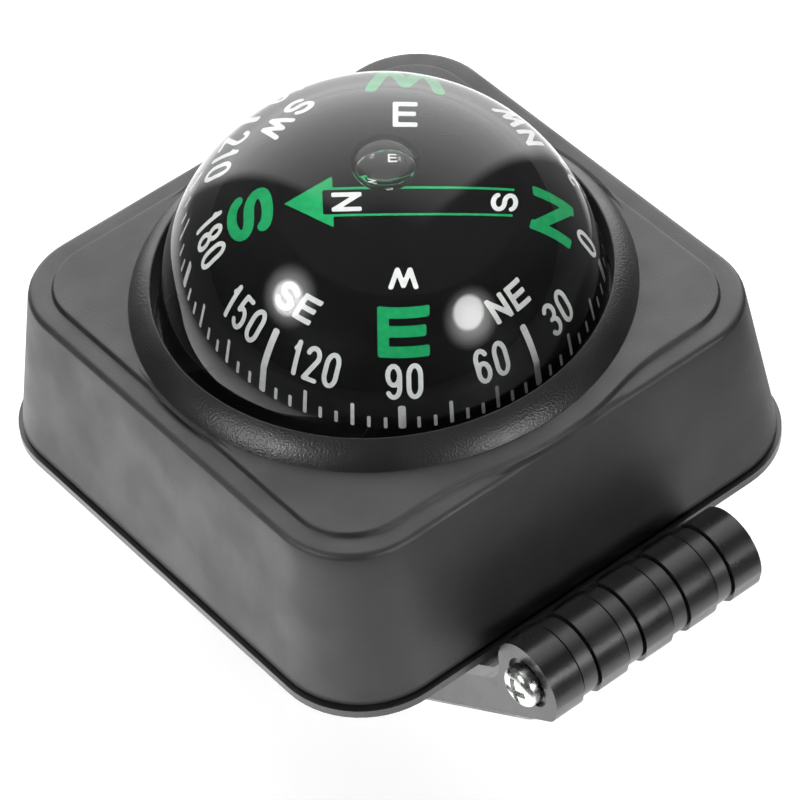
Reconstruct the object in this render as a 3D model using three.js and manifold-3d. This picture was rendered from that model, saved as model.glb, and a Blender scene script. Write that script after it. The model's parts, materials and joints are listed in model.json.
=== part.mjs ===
// Ball compass for a car dashboard. A liquid-filled ball with a floating dial sits in a square
// moulded case, and a friction hinge carries the case on a stick-on mounting plate.
// Millimetres, +Z up and level with the floating dial, +X along the hinge, -Y the hinge side.
// The origin is the middle of the adhesive pad's outer face.

import * as THREE from 'three';
import { mergeVertices } from 'three/addons/utils/BufferGeometryUtils.js';
import Module from 'manifold-3d';

const wasm = await Module();
wasm.setup();

// Pose, in degrees
const caseLean = 5.1; // the case leans back from level
const plateFold = 34.4; // between the case's underside and the mounting plate
const dialHeading = 39; // the dial's north points this far below +X, towards -Y

// Clearances
const seatGap = 0.3; // between pieces that seat on each other
const overrun = 1; // how far a cutting solid runs past the face it cuts

// Ball
const ballRadius = 24.4;
const ballHeight = 20; // centre of the ball above the cover's underside
const domeWall = 1.2;
const flangeReach = 3; // the dome's and the bowl's flange, beyond the ball
const flangeThickness = 1.6;
const sealThickness = 0.8;
const sealInset = 0.9;
const bowlWall = 1.6;
const bowlFloor = 2;
const bowlRound = 7;
const plugRadius = 2.4;
const plugHeadRadius = 3.4;
const plugHeadHeight = 0.6;
const plugOffset = 17;

// Case moulding, square in plan round the ball
const caseMargin = 5.6; // foot of the case beyond the ball's flange
const caseHeight = 21; // underside of the cover to the crease round the top
const caseCorner = 10.2;
const caseDraft = 2.7; // how far each side leans in at the crease
const creaseCorner = 9.2;
const creaseRadius = 0.7;
const caseWall = 2;
const openingGap = 0.6; // round the ball, in the case's opening
const bossInset = 9; // screw bosses, in from the case's sides
const bossRadius = 2.8;
const locatingRib = 1.6;

// Platform and ring bead on the top of the case
const platformRise = 0.55;
const platformBorder = 2.6; // flat strip between the crease and the platform
const platformCorner = 7;
const platformRound = 0.25;
const bulgeWidth = 34; // the platform's front edge swells out over this width
const bulgeReach = 2.2;
const beadWidth = 2.7;
const beadHeight = 2.5;
const beadLip = 0.2; // opening's edge to the bead's crest
const beadBend = 7; // radius of the bead's sloping outside

// Bottom cover
const coverLip = 0.3; // the cover stands proud of the case all round
const coverEdge = 1; // height of the lip below the seam
const coverFloor = 1.8;
const spigotHeight = 4;
const spigotWall = 1.5;
const padRadius = 4.2; // raised pads round the cover's screw holes
const padHeight = 2.6;
const cradleRadius = 12; // ring rib that carries the bowl
const cradleHeight = 2.7;
const cradleWall = 1.4;

// Case screws, pan head, driven from below
const caseScrewHead = 2.3;
const caseScrewHeadHeight = 1.2;
const caseScrewShank = 1.25;
const caseScrewLength = 10;
const caseScrewRecess = 1.6; // depth of the counterbore in the cover

// Pivot, heights above the ball's centre
const pivotHeight = 5;
const pivotAside = 2.5; // the pivot stands this far from the ball's centre, towards +X
const postTop = -2.5;
const postRadius = 2;
const postFootRadius = 4.5;
const postFootHeight = 3;
const pinRadius = 0.6;
const pinTaper = 2.6;
const pinSocket = 3;
const jewelRadius = 1.3;
const jewelRecess = 0.4; // apex of the jewel's hollow above its centre
const jewelMouth = 1.15;
const collarWall = 1.1;
const collarHeight = 2;

// Dial, heights above the ball's centre
const dialRadius = 17.8;
const skirtBottom = -0.7;
const skirtTop = 2.6;
const dialTop = 10.2;
const dialTopRadius = 10.8;
const shoulderRadius = 11; // radius of the arc between the skirt and the flat top
const dialWall = 0.9;
const hubWall = 1.1;
const hubHeight = 4.2; // length of the hub that hangs from the dial's top
const baseThickness = 0.9;
const baseHole = 4.2;
const magnetLength = 18;
const magnetWidth = 2.5;
const magnetThickness = 1.5;
const magnetSpread = 7.5;

// Hinge, seen from the case
const hingeReach = 6.6; // hinge axis beyond the case's side, towards -Y
const axisUp = 1.25; // hinge axis above the cover's underside
const wideKnuckle = 3.8;
const narrowKnuckle = 1.85;
const knuckleGap = 0.3;
const wideCount = 5;
const plateKnuckleRadius = 4.75;
const footTurn = 221; // degrees round the wide knuckles to their flat foot
const footCorner = 1.8; // the foot meets the underside this far out from the hinge axis
const coverKnuckleRadius = 4.45;
const slotReach = 7.3; // slots in the plate, from the hinge axis

// Mounting plate, in its own frame: the hinge axis is its zero, u runs inwards and n is up
const plateReach = 42;
const plateThickness = 4.5; // the underside is tangent to the knuckles
const plateCorner = 4;
const headFillet = 5; // between the knuckles and the plate's top
const plateFloor = 1.8;
const plateRim = 1.8;
const plateRib = 1.4;
const pocketStart = 10;
const adhesiveThickness = 1;
const adhesiveInset = 1.2;
const adhesiveStart = 4;

// Hinge screw and nut
const hingeScrewRadius = 1.5;
const hingeHeadRadius = 2.4;
const hingeHeadHeight = 2.1;
const hingeCounterbore = 0.5;
const nutAcrossFlats = 5.5;
const nutThickness = 2.2;
const nutPocket = 1.5;

// Cross recess in the screw heads, as shares of the head's radius
const recessWidthShare = 0.3;
const recessLengthShare = 1.15;
const recessDepthShare = 0.42;

// Facets
const cornerSteps = 6;
const roundSteps = 44;
const smallSteps = 16;
const screwSteps = 12;
const domeSteps = 8;
const shoulderSteps = 6;
const roundedSteps = 4; // quarter turns of small rounds
const mergeDistance = 1e-6; // outline points closer than this become one
const circle = Math.PI * 2;

const plastic = { color: 0x17181a, roughness: 0.55, metalness: 0 };
const materials = {
  case: new THREE.MeshStandardMaterial({ ...plastic }),
  cover: new THREE.MeshStandardMaterial({ ...plastic, roughness: 0.6 }),
  plate: new THREE.MeshStandardMaterial({ ...plastic, color: 0x121315, roughness: 0.3 }),
  pad: new THREE.MeshStandardMaterial({ color: 0xd8d8d4, roughness: 0.9, metalness: 0 }),
  zinc: new THREE.MeshStandardMaterial({ color: 0xc9ccd0, roughness: 0.25, metalness: 1 }),
  clear: new THREE.MeshStandardMaterial({
    color: 0xf2f6f7,
    roughness: 0.05,
    metalness: 0,
    transparent: true,
    opacity: 0.3,
  }),
  bowl: new THREE.MeshStandardMaterial({ ...plastic, roughness: 0.4 }),
  rubber: new THREE.MeshStandardMaterial({ color: 0x1a1a1a, roughness: 0.85, metalness: 0 }),
  steel: new THREE.MeshStandardMaterial({ color: 0xb5b8bc, roughness: 0.2, metalness: 1 }),
  jewel: new THREE.MeshStandardMaterial({ color: 0xb02038, roughness: 0.1, metalness: 0 }),
  brass: new THREE.MeshStandardMaterial({ color: 0xb98f3e, roughness: 0.3, metalness: 1 }),
  dial: new THREE.MeshStandardMaterial({ color: 0x0b0b0c, roughness: 0.45, metalness: 0 }),
  magnet: new THREE.MeshStandardMaterial({ color: 0x4a4c50, roughness: 0.5, metalness: 0.6 }),
};

// Joining and cutting
function toSolid(geometry) {
  const bare = geometry.clone();
  bare.deleteAttribute('normal');
  bare.deleteAttribute('uv');
  const merged = mergeVertices(bare);
  const index = merged.index.array;
  const faces = [];
  for (let i = 0; i < index.length; i += 3) {
    const [a, b, c] = [index[i], index[i + 1], index[i + 2]];
    if (a !== b && b !== c && c !== a) faces.push(a, b, c);
  }
  return new wasm.Manifold(new wasm.Mesh({
    numProp: 3,
    vertProperties: merged.attributes.position.array,
    triVerts: new Uint32Array(faces),
  }));
}

function toGeometry(solid) {
  const mesh = solid.getMesh();
  const geometry = new THREE.BufferGeometry();
  geometry.setAttribute('position', new THREE.BufferAttribute(mesh.vertProperties, 3));
  geometry.setIndex(new THREE.BufferAttribute(mesh.triVerts, 1));
  const flat = geometry.toNonIndexed();
  flat.computeVertexNormals();
  return flat;
}

function join(...parts) {
  return toGeometry(parts.map(toSolid).reduce((whole, next) => whole.add(next)));
}

function keepInside(part, limit) {
  return toGeometry(toSolid(part).intersect(toSolid(limit)));
}

function cut(whole, ...tools) {
  return toGeometry(tools.map(toSolid).reduce((rest, tool) => rest.subtract(tool), toSolid(whole)));
}

// Basic forms
function roundedRect(width, depth, radius) {
  const x = width / 2;
  const y = depth / 2;
  const outline = new THREE.Shape();
  outline.moveTo(x, radius - y);
  outline.lineTo(x, y - radius);
  outline.absarc(x - radius, y - radius, radius, 0, circle / 4);
  outline.absarc(radius - x, y - radius, radius, circle / 4, circle / 2);
  outline.absarc(radius - x, radius - y, radius, circle / 2, circle * 3 / 4);
  outline.absarc(x - radius, radius - y, radius, circle * 3 / 4, circle);
  return outline;
}

function ringAt(outline, height) {
  const points = outline.getPoints(cornerSteps).map((p) => new THREE.Vector3(p.x, p.y, height));
  return points.filter((p, i) => p.distanceTo(points[(i + 1) % points.length]) > mergeDistance);
}

function loft(rings) {
  const count = rings[0].length;
  const faces = [];
  for (let level = 0; level + 1 < rings.length; level++) {
    for (let i = 0; i < count; i++) {
      const a = level * count + i;
      const b = level * count + (i + 1) % count;
      faces.push(a, b, b + count, a, b + count, a + count);
    }
  }
  const cap = THREE.ShapeUtils.triangulateShape(rings[0].map((p) => new THREE.Vector2(p.x, p.y)), []);
  const top = (rings.length - 1) * count;
  for (const [a, b, c] of cap) {
    faces.push(c, b, a);
    faces.push(top + a, top + b, top + c);
  }
  const geometry = new THREE.BufferGeometry().setFromPoints(rings.flat());
  geometry.setIndex(faces);
  geometry.computeVertexNormals();
  return geometry;
}

function prism(outline, bottom, top, curveSegments = cornerSteps) {
  const options = { depth: top - bottom, bevelEnabled: false, curveSegments };
  return new THREE.ExtrudeGeometry(outline, options).translate(0, 0, bottom);
}

function turned(profile, steps = roundSteps) {
  const points = profile.map(([radius, height]) => new THREE.Vector2(radius, height));
  return new THREE.LatheGeometry(points, steps).rotateX(circle / 4);
}

function rod(radius, bottom, top, steps = smallSteps) {
  return turned([[0, bottom], [radius, bottom], [radius, top], [0, top]], steps);
}

function tube(inner, outer, bottom, top, steps = roundSteps) {
  return turned([[inner, bottom], [outer, bottom], [outer, top], [inner, top], [inner, bottom]], steps);
}

function block(from, to) {
  const [width, depth, height] = to.map((value, i) => Math.abs(value - from[i]));
  const [x, y, z] = to.map((value, i) => (value + from[i]) / 2);
  return new THREE.BoxGeometry(width, depth, height).translate(x, y, z);
}

function arc(centreX, centreY, radiusX, radiusY, start, end, steps) {
  const curve = new THREE.EllipseCurve(centreX, centreY, radiusX, radiusY, start, end, end < start);
  return curve.getPoints(steps).map((p) => [p.x, p.y]);
}

function piece(name, geometry, material) {
  const mesh = new THREE.Mesh(geometry, material);
  mesh.name = name;
  return mesh;
}

// Plan of the case, worked out from the ball
const flangeRadius = ballRadius + flangeReach;
const caseWidth = 2 * (flangeRadius + caseMargin);
const openingRadius = ballRadius + openingGap;
const platformWidth = caseWidth - 2 * (caseDraft + platformBorder);
const bossSpread = caseWidth / 2 - bossInset;
const axisOut = caseWidth / 2 + hingeReach;
const corners = [[1, 1], [-1, 1], [-1, -1], [1, -1]];

function atCorner(geometry, [x, y]) {
  return geometry.translate(x * bossSpread, y * bossSpread, 0);
}

// Upper case: a drafted shell with a raised platform, a ring bead and four screw bosses
const platformTop = caseHeight + platformRise;
const ceiling = caseHeight - caseWall;

function draftedBody(inset, bottom, top, edge) {
  const lean = (height) => caseDraft * height / caseHeight;
  const section = (height, extra) => {
    const shrink = 2 * (inset + lean(height) + extra);
    const corner = THREE.MathUtils.lerp(caseCorner, creaseCorner, height / caseHeight) - inset;
    return ringAt(roundedRect(caseWidth - shrink, caseWidth - shrink, corner - extra), height);
  };
  const rings = [section(bottom, 0)];
  const edgeSteps = edge > 0 ? roundedSteps : 0;
  rings.push(section(top - edge, 0));
  for (let i = 1; i <= edgeSteps; i++) {
    const turn = circle / 4 * i / edgeSteps;
    rings.push(section(top - edge + edge * Math.sin(turn), edge * (1 - Math.cos(turn))));
  }
  return loft(rings);
}

function platformOutline(shrink) {
  const half = platformWidth / 2 - shrink;
  const corner = platformCorner - shrink;
  const swell = bulgeWidth / 2;
  const front = -half - bulgeReach;
  const outline = new THREE.Shape();
  outline.moveTo(half, corner - half);
  outline.lineTo(half, half - corner);
  outline.absarc(half - corner, half - corner, corner, 0, circle / 4);
  outline.absarc(corner - half, half - corner, corner, circle / 4, circle / 2);
  outline.absarc(corner - half, corner - half, corner, circle / 2, circle * 3 / 4);
  outline.lineTo(-swell, -half);
  outline.bezierCurveTo(-swell / 2, -half, -swell / 2, front, 0, front);
  outline.bezierCurveTo(swell / 2, front, swell / 2, -half, swell, -half);
  outline.lineTo(half - corner, -half);
  outline.absarc(half - corner, corner - half, corner, circle * 3 / 4, circle);
  return outline;
}

function platform() {
  return loft([
    ringAt(platformOutline(0), ceiling + caseWall / 2),
    ringAt(platformOutline(0), platformTop - platformRound),
    ringAt(platformOutline(platformRound), platformTop),
  ]);
}

function ringBead() {
  const outside = openingRadius + beadWidth;
  const foot = ceiling + caseWall / 2;
  const top = platformTop + beadHeight;
  const slope = bentSlope(outside, platformTop, openingRadius + beadLip, top, beadBend, roundedSteps + 1);
  const bore = [[openingRadius, top - beadLip], [openingRadius, foot]];
  return turned([[openingRadius, foot], [outside, foot], ...slope, ...bore]);
}

function bossAt(corner) {
  return atCorner(rod(bossRadius, padHeight + seatGap, ceiling + overrun), corner);
}

function locatingRibAt(angle) {
  const inner = flangeRadius + seatGap;
  const outer = caseWidth / 2;
  const half = locatingRib / 2;
  const bottom = spigotHeight + seatGap;
  return block([inner, -half, bottom], [outer, half, ceiling + overrun]).rotateZ(angle);
}

function upperCase() {
  const seam = coverEdge + seatGap;
  const outside = draftedBody(0, seam, caseHeight, creaseRadius);
  const hollow = draftedBody(caseWall, 0, ceiling, 0);
  const shell = cut(outside, hollow);
  const ribs = [0, 1, 2, 3].map((side) => keepInside(locatingRibAt(side * circle / 4), outside));
  const body = join(shell, platform(), ringBead(), ...corners.map(bossAt), ...ribs);
  const opening = rod(openingRadius, caseHeight / 2, platformTop + beadHeight + overrun, roundSteps);
  const pilotTop = caseScrewLength + caseScrewRecess + overrun;
  const pilots = corners.map((corner) => atCorner(rod(caseScrewShank + seatGap, 0, pilotTop), corner));
  return cut(body, opening, ...pilots);
}

// Bottom cover: floor, lip, locating wall, cradle rib and the narrow hinge knuckles
const hingeSpan = wideCount * wideKnuckle + (wideCount - 1) * (narrowKnuckle + 2 * knuckleGap);
const knucklePitch = wideKnuckle + narrowKnuckle + 2 * knuckleGap;

function acrossHinge(outline, from, width, curveSegments) {
  // an outline drawn with Y across and Z up, extruded along X
  const upright = prism(outline, 0, width, curveSegments).rotateX(circle / 4);
  return upright.rotateZ(circle / 4).translate(from, 0, 0);
}

function rodAlongHinge(radius, from, to, steps) {
  return rod(radius, from, to, steps).rotateY(circle / 4);
}

function tangentAngle(point, radius, side) {
  const reach = Math.hypot(point.x, point.y);
  return Math.atan2(point.y, point.x) + side * Math.acos(radius / reach);
}

function armOutline() {
  const edge = hingeReach - coverLip;
  const upper = new THREE.Vector2(edge, coverEdge - axisUp);
  const lower = new THREE.Vector2(edge, -axisUp);
  const start = tangentAngle(upper, coverKnuckleRadius, 1);
  const end = tangentAngle(lower, coverKnuckleRadius, -1);
  const outline = new THREE.Shape();
  outline.moveTo(lower.x + caseWall, lower.y);
  outline.lineTo(upper.x + caseWall, upper.y);
  outline.lineTo(upper.x, upper.y);
  outline.absarc(0, 0, coverKnuckleRadius, start, circle + end);
  outline.lineTo(lower.x, lower.y);
  outline.closePath();
  return outline;
}

function narrowKnuckles() {
  const first = -hingeSpan / 2 + wideKnuckle + knuckleGap;
  const arms = [];
  for (let i = 0; i + 1 < wideCount; i++) {
    const arm = acrossHinge(armOutline(), first + i * knucklePitch, narrowKnuckle, smallSteps);
    arms.push(arm.translate(0, -axisOut, axisUp));
  }
  return arms;
}

function bottomCover() {
  const rim = roundedRect(caseWidth + 2 * coverLip, caseWidth + 2 * coverLip, caseCorner + coverLip);
  const lip = prism(rim, 0, coverEdge);
  const reach = caseWall + seatGap + caseDraft * spigotHeight / caseHeight;
  const spigot = roundedRect(caseWidth - 2 * reach, caseWidth - 2 * reach, caseCorner - reach);
  const inner = reach + spigotWall;
  const pocket = roundedRect(caseWidth - 2 * inner, caseWidth - 2 * inner, caseCorner - inner);
  const wall = prism(spigot, coverEdge / 2, spigotHeight);
  const tray = cut(wall, prism(pocket, coverFloor, spigotHeight + overrun));
  const pads = corners.map((corner) => atCorner(rod(padRadius, coverFloor / 2, padHeight), corner));
  const cradle = tube(cradleRadius - cradleWall, cradleRadius, coverFloor / 2, cradleHeight, roundSteps / 2);
  const body = join(lip, tray, ...pads, cradle, ...narrowKnuckles());
  const screwHoles = corners.flatMap((corner) => [
    atCorner(rod(caseScrewShank + seatGap, -overrun, spigotHeight + overrun), corner),
    atCorner(rod(caseScrewHead + seatGap, -overrun, caseScrewRecess), corner),
  ]);
  const pinHole = rodAlongHinge(hingeScrewRadius + seatGap, -hingeSpan / 2, hingeSpan / 2);
  return cut(body, ...screwHoles, pinHole.translate(0, -axisOut, axisUp));
}

// Screws: turned along Z with the head below zero and the shank above
function screw(headRadius, headHeight, shankRadius, length) {
  const crown = arc(0, -headHeight / 2, headRadius, headHeight / 2, -circle / 4, 0, roundedSteps - 1);
  const chamfer = shankRadius / 3;
  const body = turned([
    ...crown,
    [headRadius, 0],
    [shankRadius, 0],
    [shankRadius, length - chamfer],
    [shankRadius - chamfer, length],
    [0, length],
  ], screwSteps);
  const half = headRadius * recessWidthShare / 2;
  const reach = headRadius * recessLengthShare / 2;
  const depth = headRadius * recessDepthShare - headHeight;
  const wing = (x, y) => block([-x, -y, -headHeight - overrun], [x, y, depth]);
  return cut(body, wing(half, reach), wing(reach, half));
}

// Clear dome: a hemisphere on a short skirt with a clamping flange, heights above the ball's centre
const flangeTop = ceiling - seatGap - ballHeight;
const flangeBottom = flangeTop - flangeThickness;
const sealTop = flangeBottom - seatGap;
const bowlTop = sealTop - sealThickness - seatGap;
const bowlBottom = cradleHeight + seatGap - ballHeight;
const innerRadius = ballRadius - domeWall;

function clearDome() {
  const outside = arc(0, 0, ballRadius, ballRadius, 0, circle / 4, domeSteps);
  const inside = arc(0, 0, innerRadius, innerRadius, circle / 4, 0, domeSteps);
  return turned([
    [innerRadius, flangeBottom],
    [flangeRadius, flangeBottom],
    [flangeRadius, flangeTop],
    [ballRadius, flangeTop],
    ...outside.slice(0, -1),
    [0, ballRadius],
    [0, innerRadius],
    ...inside.slice(1),
    [innerRadius, flangeBottom],
  ]);
}

function domeSeal() {
  return tube(innerRadius + sealInset, flangeRadius - sealInset, sealTop - sealThickness, sealTop);
}

function capsuleBowl() {
  const outer = innerRadius + bowlWall;
  const floor = bowlBottom + bowlFloor;
  const flangeUnder = bowlTop - flangeThickness;
  const outerRound = bowlRound + bowlFloor;
  const corner = (x, y, radius, start, end) => arc(x, y, radius, radius, start, end, roundedSteps);
  const outerCorner = corner(outer - outerRound, bowlBottom + outerRound, outerRound, -circle / 4, 0);
  const innerCorner = corner(innerRadius - bowlRound, floor + bowlRound, bowlRound, 0, -circle / 4);
  const bowl = turned([
    [0, bowlBottom],
    ...outerCorner,
    [outer, flangeUnder],
    [flangeRadius, flangeUnder],
    [flangeRadius, bowlTop],
    [innerRadius, bowlTop],
    ...innerCorner,
    [0, floor],
  ]);
  const hole = rod(plugRadius + seatGap, bowlBottom - overrun, floor + overrun).translate(0, plugOffset, 0);
  const socket = rod(postRadius + seatGap, bowlBottom + bowlFloor / 2, floor + overrun);
  return cut(bowl, hole, socket.translate(pivotAside, 0, 0));
}

function fillerPlug() {
  const underHead = bowlBottom - seatGap;
  return turned([
    [0, underHead - plugHeadHeight],
    [plugHeadRadius, underHead - plugHeadHeight],
    [plugHeadRadius, underHead],
    [plugRadius, underHead],
    [plugRadius, bowlBottom + bowlFloor],
    [0, bowlBottom + bowlFloor],
  ], smallSteps).translate(0, plugOffset, 0);
}

function pivotPost() {
  const floor = bowlBottom + bowlFloor;
  const foot = floor + seatGap;
  const post = turned([
    [0, floor - bowlFloor / 2 + seatGap],
    [postRadius, floor - bowlFloor / 2 + seatGap],
    [postRadius, foot],
    [postFootRadius, foot],
    [postRadius, foot + postFootHeight],
    [postRadius, postTop],
    [0, postTop],
  ], smallSteps);
  const socket = rod(pinRadius + seatGap, postTop - pinSocket, postTop + overrun, smallSteps / 2);
  return cut(post, socket).translate(pivotAside, 0, 0);
}

function pivotPin() {
  const tip = pivotHeight + jewelRecess - seatGap;
  const root = postTop - pinSocket + seatGap;
  const pin = turned([[0, root], [pinRadius, root], [pinRadius, tip - pinTaper], [0, tip]], smallSteps / 2);
  return pin.translate(pivotAside, 0, 0);
}

// Jewel and collar, with the pivot point as zero
function jewelCup() {
  const ball = turned([
    [0, -jewelRadius],
    ...arc(0, 0, jewelRadius, jewelRadius, -circle / 4, circle / 4, smallSteps / 2).slice(1, -1),
    [0, jewelRadius],
  ], smallSteps);
  const depth = jewelRecess + jewelRadius;
  const mouth = jewelMouth * (depth + overrun) / depth;
  const bottom = -jewelRadius - overrun;
  const hollow = turned([[0, bottom], [mouth, bottom], [0, jewelRecess]], smallSteps);
  return cut(ball, hollow);
}

const collarInner = jewelRadius + seatGap;
const collarOuter = collarInner + collarWall;

function jewelCollar() {
  return tube(collarInner, collarOuter, -collarHeight / 2, collarHeight / 2, smallSteps);
}

// Dial, with the ball's centre as zero
function bentSlope(radius, bottom, topRadius, top, bend, steps) {
  const chord = new THREE.Vector2(topRadius - radius, top - bottom);
  const middle = new THREE.Vector2((radius + topRadius) / 2, (bottom + top) / 2);
  const inward = new THREE.Vector2(-chord.y, chord.x).normalize();
  const depth = Math.sqrt(bend * bend - chord.lengthSq() / 4);
  const centre = middle.addScaledVector(inward, depth);
  const start = Math.atan2(bottom - centre.y, radius - centre.x);
  const end = Math.atan2(top - centre.y, topRadius - centre.x);
  return arc(centre.x, centre.y, bend, bend, start, end, steps);
}

const hubInner = collarOuter + seatGap;
const hubOuter = hubInner + hubWall;
const dialCeiling = dialTop - dialWall;

function dialCard() {
  const outside = bentSlope(dialRadius, skirtTop, dialTopRadius, dialTop, shoulderRadius, shoulderSteps);
  const innerSkirt = dialRadius - dialWall;
  const innerTop = dialTopRadius - dialWall / 2;
  const innerBend = shoulderRadius - dialWall;
  const inside = bentSlope(innerSkirt, skirtTop, innerTop, dialCeiling, innerBend, shoulderSteps);
  const hubEnd = dialCeiling - hubHeight;
  return turned([
    [innerSkirt, skirtBottom],
    [dialRadius, skirtBottom],
    ...outside,
    [0, dialTop],
    [0, dialCeiling],
    [hubInner, dialCeiling],
    [hubInner, hubEnd],
    [hubOuter, hubEnd],
    [hubOuter, dialCeiling],
    ...inside.reverse(),
    [innerSkirt, skirtBottom],
  ]);
}

function dialBase() {
  return tube(baseHole, dialRadius - dialWall - seatGap, skirtBottom, skirtBottom + baseThickness);
}

function dialMagnet(side) {
  const top = skirtBottom - seatGap;
  const middle = side * magnetSpread;
  return block(
    [-magnetLength / 2, middle - magnetWidth / 2, top - magnetThickness],
    [magnetLength / 2, middle + magnetWidth / 2, top],
  );
}

// Mounting plate: wide knuckles, cored-out top and holes for the screw and nut
const plateBottom = -plateKnuckleRadius;
const plateTop = plateBottom + plateThickness;

function plateOutline() {
  const rise = plateTop + headFillet;
  const meet = Math.sqrt((plateKnuckleRadius + headFillet) ** 2 - rise ** 2);
  const touch = Math.atan2(rise, meet);
  const outline = new THREE.Shape();
  outline.moveTo(plateReach, plateBottom);
  outline.lineTo(plateReach, plateTop);
  outline.absarc(meet, rise, headFillet, -circle / 4, touch - circle / 2, true);
  outline.absarc(0, 0, plateKnuckleRadius, touch, THREE.MathUtils.degToRad(footTurn));
  outline.lineTo(-footCorner, plateBottom);
  outline.closePath();
  return outline;
}

function endCornerCut(side) {
  const x = side * (hingeSpan / 2 - plateCorner);
  const u = plateReach - plateCorner;
  const corner = block(
    [x, u, plateBottom - overrun],
    [x + side * (plateCorner + overrun), plateReach + overrun, plateTop + overrun],
  );
  const round = rod(plateCorner, plateBottom - 2 * overrun, plateTop + 2 * overrun);
  return cut(corner, round.translate(x, u, 0));
}

function plateSlots() {
  const width = narrowKnuckle + 2 * knuckleGap;
  const reach = plateKnuckleRadius + overrun;
  const slots = [];
  for (let i = 0; i + 1 < wideCount; i++) {
    const from = -hingeSpan / 2 + wideKnuckle + i * knucklePitch;
    slots.push(block([from, -reach, -reach], [from + width, slotReach, reach]));
  }
  return slots;
}

function platePockets() {
  const columns = 3;
  const rows = 2;
  const wide = (hingeSpan - 2 * plateRim - (columns - 1) * plateRib) / columns;
  const long = (plateReach - plateRim - pocketStart - (rows - 1) * plateRib) / rows;
  const pockets = [];
  for (let column = 0; column < columns; column++) {
    for (let row = 0; row < rows; row++) {
      const x = -hingeSpan / 2 + plateRim + column * (wide + plateRib);
      const u = pocketStart + row * (long + plateRib);
      pockets.push(block([x, u, plateBottom + plateFloor], [x + wide, u + long, plateTop + overrun]));
    }
  }
  return pockets;
}

const nutSides = 6;
const nutRadius = nutAcrossFlats / 2 / Math.cos(circle / 2 / nutSides);

function mountingPlate() {
  const body = acrossHinge(plateOutline(), -hingeSpan / 2, hingeSpan, screwSteps);
  const side = hingeSpan / 2;
  const seats = [
    rodAlongHinge(hingeScrewRadius + seatGap, -side - overrun, side + overrun),
    rodAlongHinge(hingeHeadRadius + 2 * seatGap, -side - overrun, -side + hingeCounterbore),
    rodAlongHinge(nutRadius + seatGap, side - nutPocket, side + overrun, nutSides),
  ];
  return cut(body, ...plateSlots(), ...seats, ...platePockets(), endCornerCut(1), endCornerCut(-1));
}

function hingeScrew() {
  const head = -hingeSpan / 2 + hingeCounterbore - seatGap;
  const end = hingeSpan / 2 + nutThickness - nutPocket;
  const upright = screw(hingeHeadRadius, hingeHeadHeight, hingeScrewRadius, end - head);
  return upright.rotateY(circle / 4).translate(head, 0, 0);
}

function hingeNut() {
  const from = hingeSpan / 2 - nutPocket + seatGap;
  const to = from + nutThickness;
  const bore = rodAlongHinge(hingeScrewRadius + seatGap, from - overrun, to + overrun);
  return cut(rodAlongHinge(nutRadius, from, to, nutSides), bore);
}

const adhesiveMiddle = (adhesiveStart + plateReach - adhesiveInset) / 2;
const adhesiveFace = plateBottom - seatGap - adhesiveThickness;

function adhesivePad() {
  const length = plateReach - adhesiveInset - adhesiveStart;
  const outline = roundedRect(hingeSpan - 2 * adhesiveInset, length, plateCorner - adhesiveInset);
  return prism(outline, adhesiveFace, adhesiveFace + adhesiveThickness).translate(0, adhesiveMiddle, 0);
}

// Assembly
const lean = -THREE.MathUtils.degToRad(caseLean);
const fold = -THREE.MathUtils.degToRad(plateFold);

const mount = new THREE.Group();
mount.rotation.x = lean + fold;
mount.add(
  piece('mounting_plate', mountingPlate(), materials.plate),
  piece('adhesive_pad', adhesivePad(), materials.pad),
  piece('hinge_screw', hingeScrew(), materials.zinc),
  piece('hinge_nut', hingeNut(), materials.zinc),
);

const caseBody = new THREE.Group();
caseBody.add(
  piece('upper_case', upperCase(), materials.case),
  piece('bottom_cover', bottomCover(), materials.cover),
);
corners.forEach(([x, y], i) => {
  const fastener = screw(caseScrewHead, caseScrewHeadHeight, caseScrewShank, caseScrewLength);
  const mesh = piece(`case_screw_${i + 1}`, fastener, materials.zinc);
  mesh.position.set(x * bossSpread, y * bossSpread, caseScrewRecess - seatGap);
  caseBody.add(mesh);
});

const capsule = new THREE.Group();
capsule.position.z = ballHeight;
capsule.add(
  piece('clear_dome', clearDome(), materials.clear),
  piece('dome_seal', domeSeal(), materials.rubber),
  piece('capsule_bowl', capsuleBowl(), materials.bowl),
  piece('filler_plug', fillerPlug(), materials.rubber),
  piece('pivot_post', pivotPost(), materials.bowl),
  piece('pivot_pin', pivotPin(), materials.steel),
);
caseBody.add(capsule);

const caseOnHinge = new THREE.Group();
caseOnHinge.rotation.x = lean;
caseBody.position.set(0, axisOut, -axisUp);
caseOnHinge.add(caseBody);

// The dial hangs on the pivot point and stays level whatever the case does
const pivotPoint = new THREE.Vector3(pivotAside, axisOut, ballHeight + pivotHeight - axisUp);
pivotPoint.applyAxisAngle(new THREE.Vector3(1, 0, 0), lean);
const bearing = new THREE.Group();
bearing.position.copy(pivotPoint);
bearing.rotation.z = -THREE.MathUtils.degToRad(dialHeading);
bearing.add(
  piece('jewel_cup', jewelCup(), materials.jewel),
  piece('jewel_collar', jewelCollar(), materials.brass),
);
const dial = new THREE.Group();
dial.position.z = -pivotHeight;
dial.add(
  piece('dial_card', dialCard(), materials.dial),
  piece('dial_base', dialBase(), materials.dial),
  piece('dial_magnet_1', dialMagnet(1), materials.magnet),
  piece('dial_magnet_2', dialMagnet(-1), materials.magnet),
);
bearing.add(dial);

const padCentre = new THREE.Vector3(0, adhesiveMiddle, adhesiveFace);
padCentre.applyAxisAngle(new THREE.Vector3(1, 0, 0), lean + fold);

const group = new THREE.Group();
const hinge = new THREE.Group();
hinge.position.copy(padCentre).negate();
hinge.add(mount, caseOnHinge, bearing);
group.add(hinge);

export default group;
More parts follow.
